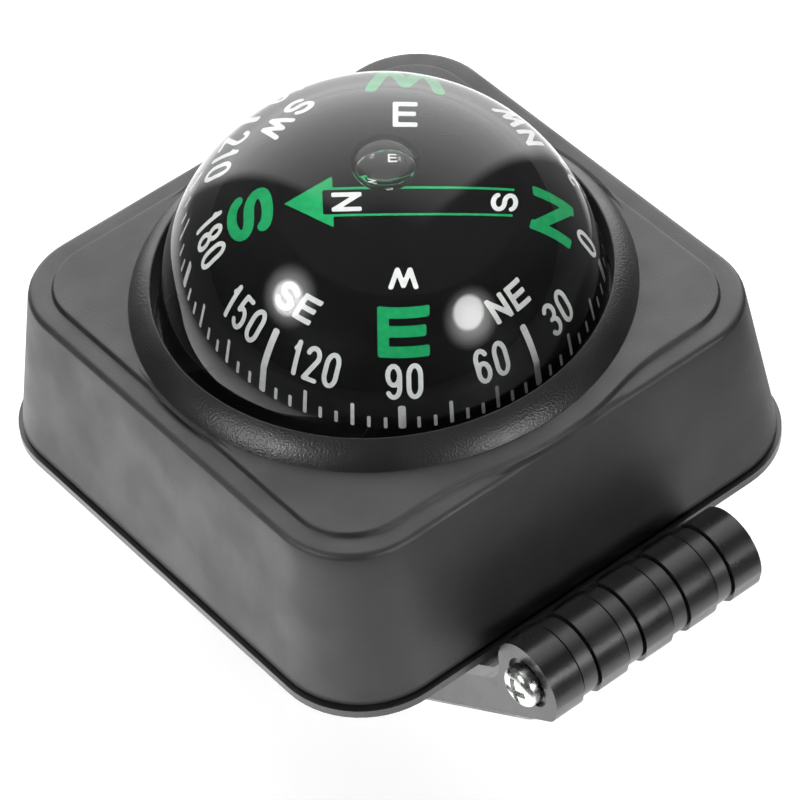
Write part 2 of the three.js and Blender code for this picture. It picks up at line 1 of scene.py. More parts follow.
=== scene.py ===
# %% [markdown]
# # A ball compass for a dashboard
#
# A clear ball full of liquid holds a floating dial. A squarish black moulding holds the ball,
# and a hinge joins it to a small stick-on plate. The solids exist already, and this notebook
# dresses them. It works in millimetres, and `piece` moves each piece into the frame's metres.

import json
from collections import namedtuple
from math import acos, asin, atan2, ceil, cos, degrees, hypot, pi, radians, sin, sqrt

import bmesh
import bpy
import numpy as np
from mathutils import Matrix, Vector


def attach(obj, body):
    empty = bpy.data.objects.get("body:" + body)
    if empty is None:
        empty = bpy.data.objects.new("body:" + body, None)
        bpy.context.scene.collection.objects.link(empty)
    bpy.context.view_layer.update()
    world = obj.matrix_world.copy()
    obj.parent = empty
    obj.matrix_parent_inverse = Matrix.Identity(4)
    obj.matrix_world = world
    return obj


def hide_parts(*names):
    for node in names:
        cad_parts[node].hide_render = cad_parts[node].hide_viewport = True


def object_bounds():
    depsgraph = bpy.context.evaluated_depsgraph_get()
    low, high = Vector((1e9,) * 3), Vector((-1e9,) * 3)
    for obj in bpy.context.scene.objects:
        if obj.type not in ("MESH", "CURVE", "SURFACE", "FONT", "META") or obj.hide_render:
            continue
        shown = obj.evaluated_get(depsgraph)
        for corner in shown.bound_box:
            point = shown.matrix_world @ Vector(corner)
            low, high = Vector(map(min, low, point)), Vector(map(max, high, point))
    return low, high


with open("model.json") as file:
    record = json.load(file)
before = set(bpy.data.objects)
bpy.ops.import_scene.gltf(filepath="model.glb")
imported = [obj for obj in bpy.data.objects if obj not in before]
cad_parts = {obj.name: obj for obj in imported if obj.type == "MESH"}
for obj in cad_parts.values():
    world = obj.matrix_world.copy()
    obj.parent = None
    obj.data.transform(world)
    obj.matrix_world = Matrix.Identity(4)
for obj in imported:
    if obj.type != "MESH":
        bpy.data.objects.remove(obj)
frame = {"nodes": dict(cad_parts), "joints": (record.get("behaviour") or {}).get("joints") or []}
CAD_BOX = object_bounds()
print("solids:", len(frame["nodes"]))

# %% [markdown]
# There are three places to measure from. The case leans back by a few degrees, the mounting
# plate folds down from the hinge, and the dial floats level. Each gets a matrix from its
# millimetres to the metres of the frame, found from the hinge and the pivot of the solids.

# %% Three places to measure from
MM = 0.001
CASE_WIDTH = 66.0
HINGE_OUT = 39.6
HINGE_UP = 1.25
PIVOT_UP = 25.0
BALL_UP = 20.0
PLATE_FOLD = radians(34.4)
DIAL_HEADING = radians(39.0)

joint_place = {joint["name"]: Vector(joint.get("pos_m", (0, 0, 0))) for joint in frame["joints"]}
hinge_place = joint_place["case_tilt"]
pivot_place = joint_place["dial_heading"]
reach = pivot_place - hinge_place
case_lean = atan2(PIVOT_UP - HINGE_UP, HINGE_OUT) - atan2(reach.z, reach.y)


def placed(origin, turn):
    return Matrix.Translation(origin) @ turn.to_4x4() @ Matrix.Scale(MM, 4)


case_turn = Matrix.Rotation(-case_lean, 3, "X")
case_place = placed(hinge_place + case_turn @ Vector((0, HINGE_OUT, -HINGE_UP)) * MM, case_turn)
ball_place = case_place @ Matrix.Translation((0, 0, BALL_UP))
plate_place = placed(hinge_place, Matrix.Rotation(-case_lean - PLATE_FOLD, 3, "X"))
dial_drop = Vector((0, 0, PIVOT_UP - BALL_UP)) * MM
dial_place = placed(pivot_place - dial_drop, Matrix.Rotation(-DIAL_HEADING, 3, "Z"))
print("the case leans", round(degrees(case_lean), 2), "degrees")

# %% [markdown]
# The camera comes first, so that every later step can be compared with the photograph. Its
# lens is long, and it stands half a metre away from something as big as a matchbox.

# %% Camera
CAMERA_ROUND = radians(-34.94)
CAMERA_UP = radians(45.41)
CAMERA_ROLL = radians(-5.83)
CAMERA_AWAY = 494.9
CAMERA_ASIDE = 0.58
CAMERA_DOWN = 5.69
AIM_UP = 12.0
LENS = 203.26
SENSOR = 36.0


def camera_view():
    flat = cos(CAMERA_UP)
    back = Vector((sin(CAMERA_ROUND) * flat, -cos(CAMERA_ROUND) * flat, sin(CAMERA_UP)))
    right = back.cross(Vector((0, 0, -1))).normalized()
    up = back.cross(right)
    spot = back * CAMERA_AWAY + right * CAMERA_ASIDE - up * CAMERA_DOWN + Vector((0, 0, AIM_UP))
    level = Matrix((right, up, back)).transposed()
    return Matrix.Translation(spot) @ (level @ Matrix.Rotation(CAMERA_ROLL, 3, "Z")).to_4x4()


camera_data = bpy.data.cameras.new("camera")
camera_data.lens = LENS
camera_data.sensor_width = SENSOR
camera_data.clip_start = 0.01
camera = bpy.data.objects.new("camera", camera_data)
bpy.context.scene.collection.objects.link(camera)
camera_place = case_place @ camera_view()
camera.matrix_world = Matrix.LocRotScale(camera_place.to_translation(), camera_place.to_quaternion(), None)
bpy.context.scene.camera = camera
print("camera at", [round(v, 3) for v in camera.matrix_world.translation])

# %% [markdown]
# `piece` turns a mesh in millimetres into an object that stands for one of the solids.
# `combine` joins or cuts meshes, as a mould maker would, and `soften` rounds the edges that
# are left: no moulded edge is sharp, and only a rounded edge catches the light.

# %% Helpers for meshes
SHARP = 35
MERGE = 1e-5
scene = bpy.context.scene


def loose(points, faces, name="part"):
    mesh = bpy.data.meshes.new(name)
    mesh.from_pydata([tuple(point) for point in points], [], [tuple(face) for face in faces])
    mesh.validate()
    thing = bpy.data.objects.new(name, mesh)
    scene.collection.objects.link(thing)
    return thing


def outward(thing):
    work = bmesh.new()
    work.from_mesh(thing.data)
    bmesh.ops.remove_doubles(work, verts=work.verts, dist=MERGE)
    bmesh.ops.recalc_face_normals(work, faces=work.faces)
    work.to_mesh(thing.data)
    work.free()
    return thing


def changed(thing, matrix):
    thing.data.transform(matrix)
    return thing


def bake(thing):
    """What its modifiers make becomes its mesh."""
    bpy.context.view_layer.update()
    graph = bpy.context.evaluated_depsgraph_get()
    done = bpy.data.meshes.new_from_object(thing.evaluated_get(graph), depsgraph=graph)
    thing.modifiers.clear()
    thing.data = done
    return thing


def modify(thing, kind, **settings):
    step = thing.modifiers.new("step", kind)
    for name, value in settings.items():
        setattr(step, name, value)


def combine(whole, tools, how):
    for tool in tools:
        modify(whole, "BOOLEAN", operation=how, object=tool, solver="EXACT")
    bake(whole)
    for tool in tools:
        bpy.data.objects.remove(tool)
    return whole


def soften(thing, width):
    modify(thing, "BEVEL", width=width, segments=3, limit_method="ANGLE", angle_limit=radians(SHARP))
    return bake(thing)


def level_flats(thing):
    """Shading normals that follow the large flat faces, so that no streaks cross them."""
    modify(thing, "WEIGHTED_NORMAL", keep_sharp=True)
    return bake(thing)


def dress(thing, material):
    thing.data.materials.clear()
    thing.data.materials.append(material)


def piece(thing, name, place, body, material, nodes=(), smooth=SHARP, flats=False):
    outward(thing)
    thing.name = name
    thing.data.name = name
    dress(changed(thing, place), material)
    thing.data.shade_smooth()
    thing.data.set_sharp_from_angle(angle=radians(smooth))
    if flats:
        level_flats(thing)
    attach(thing, body)
    if nodes:
        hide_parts(*nodes)
    print(name, "has", len(thing.data.polygons), "faces")
    return thing


# %% [markdown]
# Most forms here are rings stacked into a skin: a square ring with round corners can become a
# circle a few steps later, as long as all rings have as many points. Round pieces are a
# profile turned about an axis, and straight ones an outline pushed along the hinge.

# %% Helpers for forms
def arc(centre, radius, start, end, steps):
    turns = np.linspace(radians(start), radians(end), steps + 1)
    return [(centre[0] + radius * cos(t), centre[1] + radius * sin(t)) for t in turns]


def bent_slope(foot, top, radius, steps):
    """An arc that bulges out between two points of a profile."""
    foot, top = Vector(foot), Vector(top)
    chord = top - foot
    inward = Vector((-chord.y, chord.x)).normalized()
    centre = (foot + top) / 2 + inward * sqrt(radius**2 - chord.length_squared / 4)
    start = degrees(atan2(foot.y - centre.y, foot.x - centre.x))
    end = degrees(atan2(top.y - centre.y, top.x - centre.x))
    return arc(centre, radius, start, end, steps)


def skin(rings, closed=False):
    """Faces over a stack of rings, capped at both ends unless the stack closes on itself."""
    count = len(rings[0])
    points = [point for ring in rings for point in ring]
    faces = []
    levels = len(rings) if closed else len(rings) - 1
    for level in range(levels):
        low = level * count
        high = (level + 1) % len(rings) * count
        for i in range(count):
            j = (i + 1) % count
            faces.append((low + i, low + j, high + j, high + i))
    if not closed:
        faces.append(tuple(range(count))[::-1])
        faces.append(tuple(range((len(rings) - 1) * count, len(rings) * count)))
    return points, faces


def turned(profile, steps=96):
    """A profile of (radius, height) turned about Z. Points on the axis become poles."""
    points, rows, faces = [], [], []
    for radius, height in profile:
        if abs(radius) < 1e-6:
            rows.append([len(points)] * steps)
            points.append((0, 0, height))
        else:
            rows.append(list(range(len(points), len(points) + steps)))
            turns = [2 * pi * i / steps for i in range(steps)]
            points += [(radius * cos(t), radius * sin(t), height) for t in turns]
    for low, high in zip(rows, rows[1:]):
        for i in range(steps):
            j = (i + 1) % steps
            corners = list(dict.fromkeys((low[i], low[j], high[j], high[i])))
            if len(corners) > 2:
                faces.append(corners)
    return outward(loose(points, faces))


def skinned(rings, closed=False):
    return outward(loose(*skin(rings, closed)))


def pushed(outline, start, end):
    """An outline in (Y, Z) pushed along X from start to end."""
    return skinned([[(x, y, z) for y, z in outline] for x in (start, end)])


def raised(outline, bottom, top):
    return skinned([[(x, y, z) for x, y in outline] for z in (bottom, top)])


def box(low, high):
    (x0, y0, z0), (x1, y1, z1) = low, high
    return raised([(x0, y0), (x1, y0), (x1, y1), (x0, y1)], z0, z1)


def drum(radius, start, end, steps=48):
    return turned([(0, start), (radius, start), (radius, end), (0, end)], steps)


def along_hinge(thing):
    return changed(thing, Matrix.Rotation(pi / 2, 4, "Y"))


def moved(thing, x=0.0, y=0.0, z=0.0):
    return changed(thing, Matrix.Translation((x, y, z)))


# %% [markdown]
# Black plastic is never one flat black: a fine grain breaks up the reflections, and handling
# leaves smoother patches. The recipe is one Principled shader whose colour and roughness
# wander with slow noises and whose bump is a fine one. Plastic in the liquid hardly shines,
# because the liquid bends light as much as it does.

# %% Moulded plastic
DRIFT_MM = 2.5
PATCH_MM = 6.0
BEAD_REACH = 27.8
BEAD_BLEND = 0.1
IN_LIQUID = 0.05
BLACK = (0.012, 0.016)
WHITE = (1, 1, 1, 1)


def feed(socket, source):
    """A socket takes a value, or a link from a node or from one of its outputs."""
    if isinstance(source, bpy.types.Node):
        source = source.outputs[0]
    if isinstance(source, bpy.types.NodeSocket):
        socket.id_data.links.new(source, socket)
    else:
        socket.default_value = source


def feed_named(node, named):
    for name, source in named.items():
        feed(node.inputs[name], source)


def node_of(tree, kind, *sources, operation=None, **named):
    """A shader node; its inputs are given in their order or by name."""
    node = tree.nodes.new("ShaderNode" + kind)
    if operation:
        node.operation = operation
    for socket, source in zip(node.inputs, sources):
        feed(socket, source)
    feed_named(node, named)
    return node


def spots(size_mm):
    """The noise scale that gives spots of a size."""
    return 1 / (size_mm * MM)


def noise(place, scale, detail, roughness=0.5):
    return node_of(place.id_data, "TexNoise", Vector=place, Scale=scale, Detail=detail, Roughness=roughness)


def spread(source, low, high, start=0.35, end=0.65):
    """The source's middle range stretched between two values."""
    limits = {"From Min": start, "From Max": end, "To Min": low, "To Max": high}
    return node_of(source.id_data, "MapRange", source, **limits)


def distance(place, spot):
    return node_of(place.id_data, "VectorMath", place, spot, operation="DISTANCE").outputs["Value"]


def grain(place, shader, scale, depth, detail=3.0):
    height = noise(place, scale, detail, 0.6)
    bump = node_of(place.id_data, "Bump", Strength=1.0, Distance=depth, Height=height)
    feed(shader.inputs["Normal"], bump)


def material_and_tree(name):
    material = bpy.data.materials.new(name)
    material.use_nodes = True
    return material, material.node_tree


def blank(name, dark, light, drift_mm, **named):
    """A Principled material whose colour drifts between two, and values for its other inputs."""
    material, tree = material_and_tree(name)
    shader = tree.nodes["Principled BSDF"]
    place = node_of(tree, "TexCoord").outputs["Object"]
    mix = node_of(tree, "Mix")
    mix.data_type = "RGBA"
    drift = spread(noise(place, spots(drift_mm), 4.0), 0, 1)
    for i, source in ((0, drift), (6, (*dark, 1)), (7, (*light, 1))):
        feed(mix.inputs[i], source)
    feed_named(shader, {"Base Color": mix.outputs[2], **named})
    return material, shader, place


def plastic(name, tones, gloss, grain_mm, depth_mm, specular, bead=None):
    """Black plastic. A bead is a second finish, for what lies within reach of the ball's centre."""
    dark, light = tones
    material, shader, place = blank(name, (dark,) * 3, (light,) * 3, DRIFT_MM)
    finish = [*gloss, spots(grain_mm), depth_mm * MM, 3.0, specular]
    if bead:
        away = distance(place, ball_place.to_translation())
        step = ((BEAD_REACH - BEAD_BLEND) * MM, BEAD_REACH * MM)
        finish = [spread(away, near, far, *step) for near, far in zip(bead, finish)]
    dull, bright, scale, depth, detail, shine = finish
    patches = spread(noise(place, spots(PATCH_MM), 5.0), dull, bright)
    feed(shader.inputs["Roughness"], patches)
    feed(shader.inputs["Specular IOR Level"], shine)
    grain(place, shader, scale, depth, detail)
    return material


bead_finish = (0.34, 0.44, spots(0.22), 0.03 * MM, 0.0, 0.56)
case_plastic = plastic("case plastic", BLACK, (0.46, 0.56), 0.24, 0.03, 0.85, bead_finish)
cover_plastic = plastic("cover plastic", (0.014, 0.019), (0.32, 0.42), 0.2, 0.006, 0.8)
knuckle_plastic = plastic("knuckle plastic", BLACK, (0.2, 0.34), 0.5, 0.012, 0.7)
card_plastic = plastic("dial plastic", (0.003, 0.004), (0.35, 0.5), 0.2, 0.003, IN_LIQUID)
bowl_plastic = plastic("bowl plastic", BLACK, (0.3, 0.4), 0.3, 0.004, IN_LIQUID)
rubber = plastic("rubber", (0.02, 0.03), (0.7, 0.85), 0.1, 0.01, 0.3)
print("plastics made")

# %% [markdown]
# Plated metal is never a perfect mirror: its roughness wanders, and it has fine scratches.

# %% Metals, foam and jewel
SCRATCH = (spots(0.2), 0.002 * MM)
FOAM_CELLS = (spots(0.25), 0.08 * MM)


def metal(name, dark, light, gloss):
    material, shader, place = blank(name, dark, light, 0.8, Metallic=1.0)
    feed(shader.inputs["Roughness"], spread(noise(place, spots(0.7), 4.0), *gloss))
    grain(place, shader, *SCRATCH)
    return material


def foam(name):
    material, shader, place = blank(name, (0.55, 0.55, 0.53), (0.68, 0.68, 0.66), 0.8, Roughness=0.9)
    grain(place, shader, *FOAM_CELLS)
    return material


def ruby(name):
    clear = {"Roughness": 0.08, "IOR": 1.76, "Transmission Weight": 0.7}
    return blank(name, (0.35, 0.02, 0.05), (0.5, 0.04, 0.08), 0.5, **clear)[0]


zinc = metal("zinc plate", (0.72, 0.74, 0.72), (0.86, 0.87, 0.85), (0.2, 0.36))
needle_steel = metal("needle steel", (0.6, 0.6, 0.6), (0.7, 0.7, 0.7), (0.12, 0.2))
brass = metal("turned brass", (0.6, 0.42, 0.16), (0.7, 0.5, 0.22), (0.2, 0.32))
magnet_skin = metal("magnet", (0.16, 0.16, 0.17), (0.24, 0.24, 0.25), (0.4, 0.6))
pad_foam = foam("foam tape")
ruby_red = ruby("ruby")
print("metals, foam and jewel made")

# %% [markdown]
# ## The case
#
# The case is one moulding: four walls that lean in towards the top, a soft crease, a flat
# border, a low platform whose front edge swells out, and a bead about the ball with a bent
# outside and a nearly sharp inner edge. The same rings of points run over all of it, from the
# square foot to the round opening, so the skin has no seams.

# %% Case, from rings
CASE_HEIGHT = 21.0
CASE_DRAFT = 2.7
CASE_CORNER = 10.2
CREASE_CORNER = 9.2
CREASE_ROUND = 0.7
CASE_WALL = 2.0
SEAM_UP = 1.3
SEAM_BEVEL = 0.15
WALL_RINGS = 12
PLATFORM_WIDTH = 55.4
PLATFORM_CORNER = 7.0
PLATFORM_RISE = 0.55
PLATFORM_FOOT = 0.12
PLATFORM_EDGE = 0.25
BULGE_WIDTH = 34.0
BULGE_REACH = 2.2
OPENING_RADIUS = 25.0
BEAD_WIDTH = 2.7
BEAD_HEIGHT = 2.5
BEAD_LIP = 0.2
BEAD_BEND = 7.0
SIDE_STEPS = 28
CORNER_STEPS = 14


def rounded_square(width, corner, swell=0.0):
    """Points round a square with round corners, starting on the +X side. Its -Y side can swell."""
    half = width / 2
    flat = half - corner
    points = []
    for quarter in range(4):
        start = 90 * quarter
        for i in range(SIDE_STEPS):
            across = flat * (2 * i / SIDE_STEPS - 1)
            push = swell * bulge(across) if quarter == 3 else 0.0
            points.append(turn_by(half + push, across, start))
        for x, y in arc((flat, flat), corner, 0, 90, CORNER_STEPS)[:-1]:
            points.append(turn_by(x, y, start))
    return points


def turn_by(x, y, angle):
    c, s = cos(radians(angle)), sin(radians(angle))
    return (x * c - y * s, x * s + y * c)


def bulge(across):
    """A smooth hump over the bulge's width: 0 at its ends and 1 in the middle."""
    t = np.linspace(0, 1, 60)
    x = BULGE_WIDTH / 2 * ((1 - t) ** 3 + 1.5 * t * (1 - t))
    return float(np.interp(abs(across), x[::-1], (3 * t**2 - 2 * t**3)[::-1], right=0.0))


def at(height, outline):
    return [(x, y, height) for x, y in outline]


def circle_like(outline, radius):
    """A circle whose points lie in the same directions as the outline's."""
    return [(radius * x / hypot(x, y), radius * y / hypot(x, y)) for x, y in outline]


def wall_ring(height, inset=0.0):
    lean = CASE_DRAFT * height / CASE_HEIGHT
    corner = CASE_CORNER + (CREASE_CORNER - CASE_CORNER) * height / CASE_HEIGHT
    return at(height, rounded_square(CASE_WIDTH - 2 * (inset + lean), corner - inset))


def platform(out):
    return rounded_square(PLATFORM_WIDTH + 2 * out, PLATFORM_CORNER + out, BULGE_REACH)


def case_rings():
    crease, top = CASE_HEIGHT - CREASE_ROUND, CASE_HEIGHT + PLATFORM_RISE
    rings = [wall_ring(SEAM_UP, SEAM_BEVEL), wall_ring(SEAM_UP + SEAM_BEVEL)]
    rings += [wall_ring(height) for height in np.linspace(SEAM_UP + 1, crease, WALL_RINGS)]
    for x, z in arc((0, crease), CREASE_ROUND, 0, 90, 6)[1:]:
        rings.append(wall_ring(z, CREASE_ROUND - x))
    rings += [at(CASE_HEIGHT, platform(out)) for out in (0.9, 0.45)]
    foot = arc((PLATFORM_EDGE, CASE_HEIGHT + PLATFORM_FOOT), PLATFORM_FOOT, 270, 180, 3)
    edge = arc((-PLATFORM_EDGE, top - PLATFORM_EDGE), PLATFORM_EDGE, 0, 90, 5)
    rings += [at(z, platform(x)) for x, z in [*foot, *edge]]
    plan = platform(-0.6)
    outside, bead_top = OPENING_RADIUS + BEAD_WIDTH, top + BEAD_HEIGHT
    rings += [at(top, plan), at(top, circle_like(plan, outside + 0.5))]
    slope = bent_slope((outside, top), (OPENING_RADIUS + BEAD_LIP, bead_top), BEAD_BEND, 12)
    lip = arc((OPENING_RADIUS + BEAD_LIP, bead_top - BEAD_LIP), BEAD_LIP, 80, 180, 5)
    rings += [at(z, circle_like(plan, radius)) for radius, z in [*slope, *lip]]
    ceiling = CASE_HEIGHT - CASE_WALL
    rings.append(at(ceiling, circle_like(plan, OPENING_RADIUS)))
    return rings + [wall_ring(ceiling, CASE_WALL), wall_ring(SEAM_UP, CASE_WALL)]


case_shell = skinned(case_rings(), closed=True)
piece(case_shell, "case_shell", case_place, "case", case_plastic, ["upper_case"], smooth=50)

# %% [markdown]
# ## Cover and hinge arms
#
# A flat cover closes the case from below. Its rim stands a little proud of the wall, with a
# thin dark seam between the two. Four arms grow out of it towards the hinge, each a circle
# and two tangents. They are joined first and rounded afterwards, so that all edges match.

# %% Cover with four arms
COVER_LIP = 0.3
COVER_EDGE = 1.0
COVER_FLOOR = 1.8
COVER_ROUND = 0.16
SPIGOT_HEIGHT = 4.0
SPIGOT_WALL = 1.5
SPIGOT_GAP = 0.3
BOSS_SPREAD = 24.0
HOLE_RADIUS = 1.55
HEAD_HOLE_RADIUS = 2.6
HEAD_HOLE_DEPTH = 1.6
WIDE_KNUCKLE = 3.8
NARROW_KNUCKLE = 1.85
KNUCKLE_GAP = 0.3
WIDE_COUNT = 5
ARM_RADIUS = 4.45
KNUCKLE_RADIUS = 4.75
PIN_HOLE_RADIUS = 1.8
OVERRUN = 1.0
HINGE_SPAN = WIDE_COUNT * WIDE_KNUCKLE + (WIDE_COUNT - 1) * (NARROW_KNUCKLE + 2 * KNUCKLE_GAP)
KNUCKLE_PITCH = WIDE_KNUCKLE + NARROW_KNUCKLE + 2 * KNUCKLE_GAP
GAP_STARTS = [-HINGE_SPAN / 2 + WIDE_KNUCKLE + i * KNUCKLE_PITCH for i in range(WIDE_COUNT - 1)]
SCREW_SPOTS = [(x * BOSS_SPREAD, y * BOSS_SPREAD) for x, y in ((1, 1), (-1, 1), (-1, -1), (1, -1))]


def tangent_turn(x, y, radius, side):
    return degrees(atan2(y, x) + side * acos(radius / hypot(x, y)))


def arm_outline():
    edge = HINGE_OUT - CASE_WIDTH / 2 - COVER_LIP
    low, high = -HINGE_UP, COVER_EDGE - HINGE_UP
    start = tangent_turn(edge, high, ARM_RADIUS, 1)
    end = tangent_turn(edge, low, ARM_RADIUS, -1) + 360
    knuckle = arc((0, 0), ARM_RADIUS, start, end, 72)
    inside = edge + 2 * CASE_WALL
    return [(inside, low), (inside, high), (edge, high), *knuckle, (edge, low)]


def hinge_arms():
    starts = [gap + KNUCKLE_GAP for gap in GAP_STARTS]
    arms = [pushed(arm_outline(), start, start + NARROW_KNUCKLE) for start in starts]
    return [moved(arm, y=-HINGE_OUT, z=HINGE_UP) for arm in arms]


def cover_tray():
    rim = rounded_square(CASE_WIDTH + 2 * COVER_LIP, CASE_CORNER + COVER_LIP)
    reach = CASE_WALL + SPIGOT_GAP + CASE_DRAFT * SPIGOT_HEIGHT / CASE_HEIGHT
    wall = rounded_square(CASE_WIDTH - 2 * reach, CASE_CORNER - reach)
    inner = reach + SPIGOT_WALL
    pocket = rounded_square(CASE_WIDTH - 2 * inner, CASE_CORNER - inner)
    tray = raised(rim, 0, COVER_EDGE)
    combine(tray, [raised(wall, COVER_EDGE / 2, SPIGOT_HEIGHT)], "UNION")
    return combine(tray, [raised(pocket, COVER_FLOOR, SPIGOT_HEIGHT + OVERRUN)], "DIFFERENCE")


def cover_part():
    cover = combine(cover_tray(), hinge_arms(), "UNION")
    holes = []
    for x, y in SCREW_SPOTS:
        holes.append(moved(drum(HOLE_RADIUS, -OVERRUN, SPIGOT_HEIGHT + OVERRUN), x, y))
        holes.append(moved(drum(HEAD_HOLE_RADIUS, -OVERRUN, HEAD_HOLE_DEPTH), x, y))
    pin_hole = along_hinge(drum(PIN_HOLE_RADIUS, -HINGE_SPAN / 2, HINGE_SPAN / 2))
    holes.append(moved(pin_hole, y=-HINGE_OUT, z=HINGE_UP))
    combine(cover, holes, "DIFFERENCE")
    return soften(cover, COVER_ROUND)


cover = cover_part()
piece(cover, "cover_with_arms", case_place, "case", cover_plastic, ["bottom_cover"], flats=True)

# %% [markdown]
# ## Mounting plate
#
# The plate is a second moulding, glossier than the case. Five wide knuckles stand on its
# hinged end, with slots between them for the arms of the cover, and pockets save plastic. It
# is made as it would be machined: one outline pushed along the hinge, then cut.

# %% Plate with five knuckles
PLATE_REACH = 42.0
PLATE_THICKNESS = 4.5
PLATE_CORNER = 4.0
HEAD_FILLET = 5.0
FOOT_TURN = 221
FOOT_CORNER = 1.8
FOOT_BLUNT = 1.0
SLOT_REACH = 7.3
PLATE_FLOOR = 1.8
PLATE_RIM = 1.8
PLATE_RIB = 1.4
POCKET_START = 10.0
POCKET_COLUMNS = 3
POCKET_ROWS = 2
PLATE_ROUND = 0.2
SCREW_HEAD_RADIUS = 2.4
HEAD_GAP = 0.6
SEAT_GAP = 0.3
COUNTERBORE_DEPTH = 0.5
NUT_FLATS = 5.5
NUT_POCKET = 1.5
PLATE_BOTTOM = -KNUCKLE_RADIUS
PLATE_TOP = PLATE_BOTTOM + PLATE_THICKNESS


def blunted(before, corner, after, cut, steps=6):
    """A corner of an outline as a soft curve that starts and ends a short way off it."""
    before, corner, after = Vector(before), Vector(corner), Vector(after)
    start = corner + (before - corner).normalized() * cut
    end = corner + (after - corner).normalized() * cut
    turns = np.linspace(0, 1, steps + 1)
    return [tuple(start * (1 - t) ** 2 + corner * 2 * t * (1 - t) + end * t**2) for t in turns]


def plate_outline():
    rise = PLATE_TOP + HEAD_FILLET
    meet = sqrt((KNUCKLE_RADIUS + HEAD_FILLET) ** 2 - rise**2)
    touch = degrees(atan2(rise, meet))
    fillet = arc((meet, rise), HEAD_FILLET, -90, touch - 180, 12)
    knuckle = arc((0, 0), KNUCKLE_RADIUS, touch, FOOT_TURN, 60)
    end = (PLATE_REACH, PLATE_BOTTOM)
    foot = blunted(knuckle[-1], (-FOOT_CORNER, PLATE_BOTTOM), end, FOOT_BLUNT)
    return [end, (PLATE_REACH, PLATE_TOP), *fillet, *knuckle[1:], *foot]


def plate_slots():
    width = NARROW_KNUCKLE + 2 * KNUCKLE_GAP
    far = KNUCKLE_RADIUS + OVERRUN
    return [box((x, -far, -far), (x + width, SLOT_REACH, far)) for x in GAP_STARTS]


def plate_pockets():
    wide = (HINGE_SPAN - 2 * PLATE_RIM - (POCKET_COLUMNS - 1) * PLATE_RIB) / POCKET_COLUMNS
    long = (PLATE_REACH - PLATE_RIM - POCKET_START - (POCKET_ROWS - 1) * PLATE_RIB) / POCKET_ROWS
    pockets = []
    for column in range(POCKET_COLUMNS):
        for row in range(POCKET_ROWS):
            x = -HINGE_SPAN / 2 + PLATE_RIM + column * (wide + PLATE_RIB)
            y = POCKET_START + row * (long + PLATE_RIB)
            low = (x, y, PLATE_BOTTOM + PLATE_FLOOR)
            pockets.append(box(low, (x + wide, y + long, PLATE_TOP + OVERRUN)))
    return pockets


def corner_cut(side):
    x = side * (HINGE_SPAN / 2 - PLATE_CORNER)
    y = PLATE_REACH - PLATE_CORNER
    sweep = arc((x, y), PLATE_CORNER, 90, 90 - side * 90, 16)
    far = (x + side * (PLATE_CORNER + OVERRUN), PLATE_REACH + OVERRUN)
    outline = [*sweep, (far[0], y), far, (x, far[1])]
    return raised(outline, PLATE_BOTTOM - OVERRUN, PLATE_TOP + OVERRUN)


def plate_part():
    side = HINGE_SPAN / 2
    bores = [
        drum(PIN_HOLE_RADIUS, -side - OVERRUN, side + OVERRUN),
        drum(SCREW_HEAD_RADIUS + HEAD_GAP, -side - OVERRUN, -side + COUNTERBORE_DEPTH),
        drum(NUT_FLATS / sqrt(3) + SEAT_GAP, side - NUT_POCKET, side + OVERRUN, 6),
    ]
    tools = plate_slots() + plate_pockets() + [corner_cut(1), corner_cut(-1)]
    tools += [along_hinge(bore) for bore in bores]
    return soften(combine(pushed(plate_outline(), -side, side), tools, "DIFFERENCE"), PLATE_ROUND)


plate = plate_part()
nodes = ["mounting_plate"]
piece(plate, "plate_with_knuckles", plate_place, "mount", knuckle_plastic, nodes, flats=True)

# %% [markdown]
# ## Screws and nut
#
# Every screw is a pan head with a cross recess, cut by two crossed wedges whose sides lean in
# like those of a driver bit. Only the sizes change.

# %% Cross-head screws
RECESS_WIDTH_SHARE = 0.34
RECESS_LENGTH_SHARE = 1.45
RECESS_DEPTH_SHARE = 0.36
WEDGE_TAPER = 0.55
GROOVE_SHARE = 0.16
PLAIN_START = 0.6
TIP_LENGTH = 0.4
CASE_SCREW = (2.3, 1.2, 1.25, 10.0)


def wedge(length, width, top, bottom):
    """A blade that gets smaller from top to bottom."""
    rings = []
    for share, z in ((1.0, top), (WEDGE_TAPER, bottom)):
        x, y = length / 2 * share, width / 2 * share
        rings.append([(x, y, z), (-x, y, z), (-x, -y, z), (x, -y, z)])
    return skinned(rings)


def screw(head_radius, head_height, shank_radius, length, thread=0.7):
    """A screw along Z with its head below zero."""
    crown = [(0, -head_height)]
    for turn in np.linspace(0.25, 1, 12) * pi / 2:
        crown.append((head_radius * sin(turn) ** 0.8, -head_height / 2 * (1 + cos(turn))))
    root = shank_radius * (1 - GROOVE_SHARE)
    shank = [(head_radius, -0.1), (head_radius - 0.1, 0.0), (root, 0.0)]
    for i in range(int((length - 2 * PLAIN_START) / thread)):
        z = PLAIN_START + i * thread
        shank += [(root, z), (shank_radius, z + thread / 2)]
    tip = [(root, length - TIP_LENGTH), (shank_radius / 2, length), (0, length)]
    long, wide = head_radius * RECESS_LENGTH_SHARE, head_radius * RECESS_WIDTH_SHARE
    bottom = head_radius * RECESS_DEPTH_SHARE * 2 - head_height
    blades = [wedge(long, wide, -head_height - 0.05, bottom) for _ in range(2)]
    changed(blades[1], Matrix.Rotation(pi / 2, 4, "Z"))
    return combine(turned([*crown, *shank, *tip], 64), blades, "DIFFERENCE")


for number, (x, y) in enumerate(SCREW_SPOTS, 1):
    case_screw = moved(screw(*CASE_SCREW), x, y, HEAD_HOLE_DEPTH - SEAT_GAP)
    nodes = [f"case_screw_{number}"]
    piece(case_screw, f"cover_screw_{number}", case_place, "case", zinc, nodes, smooth=28)

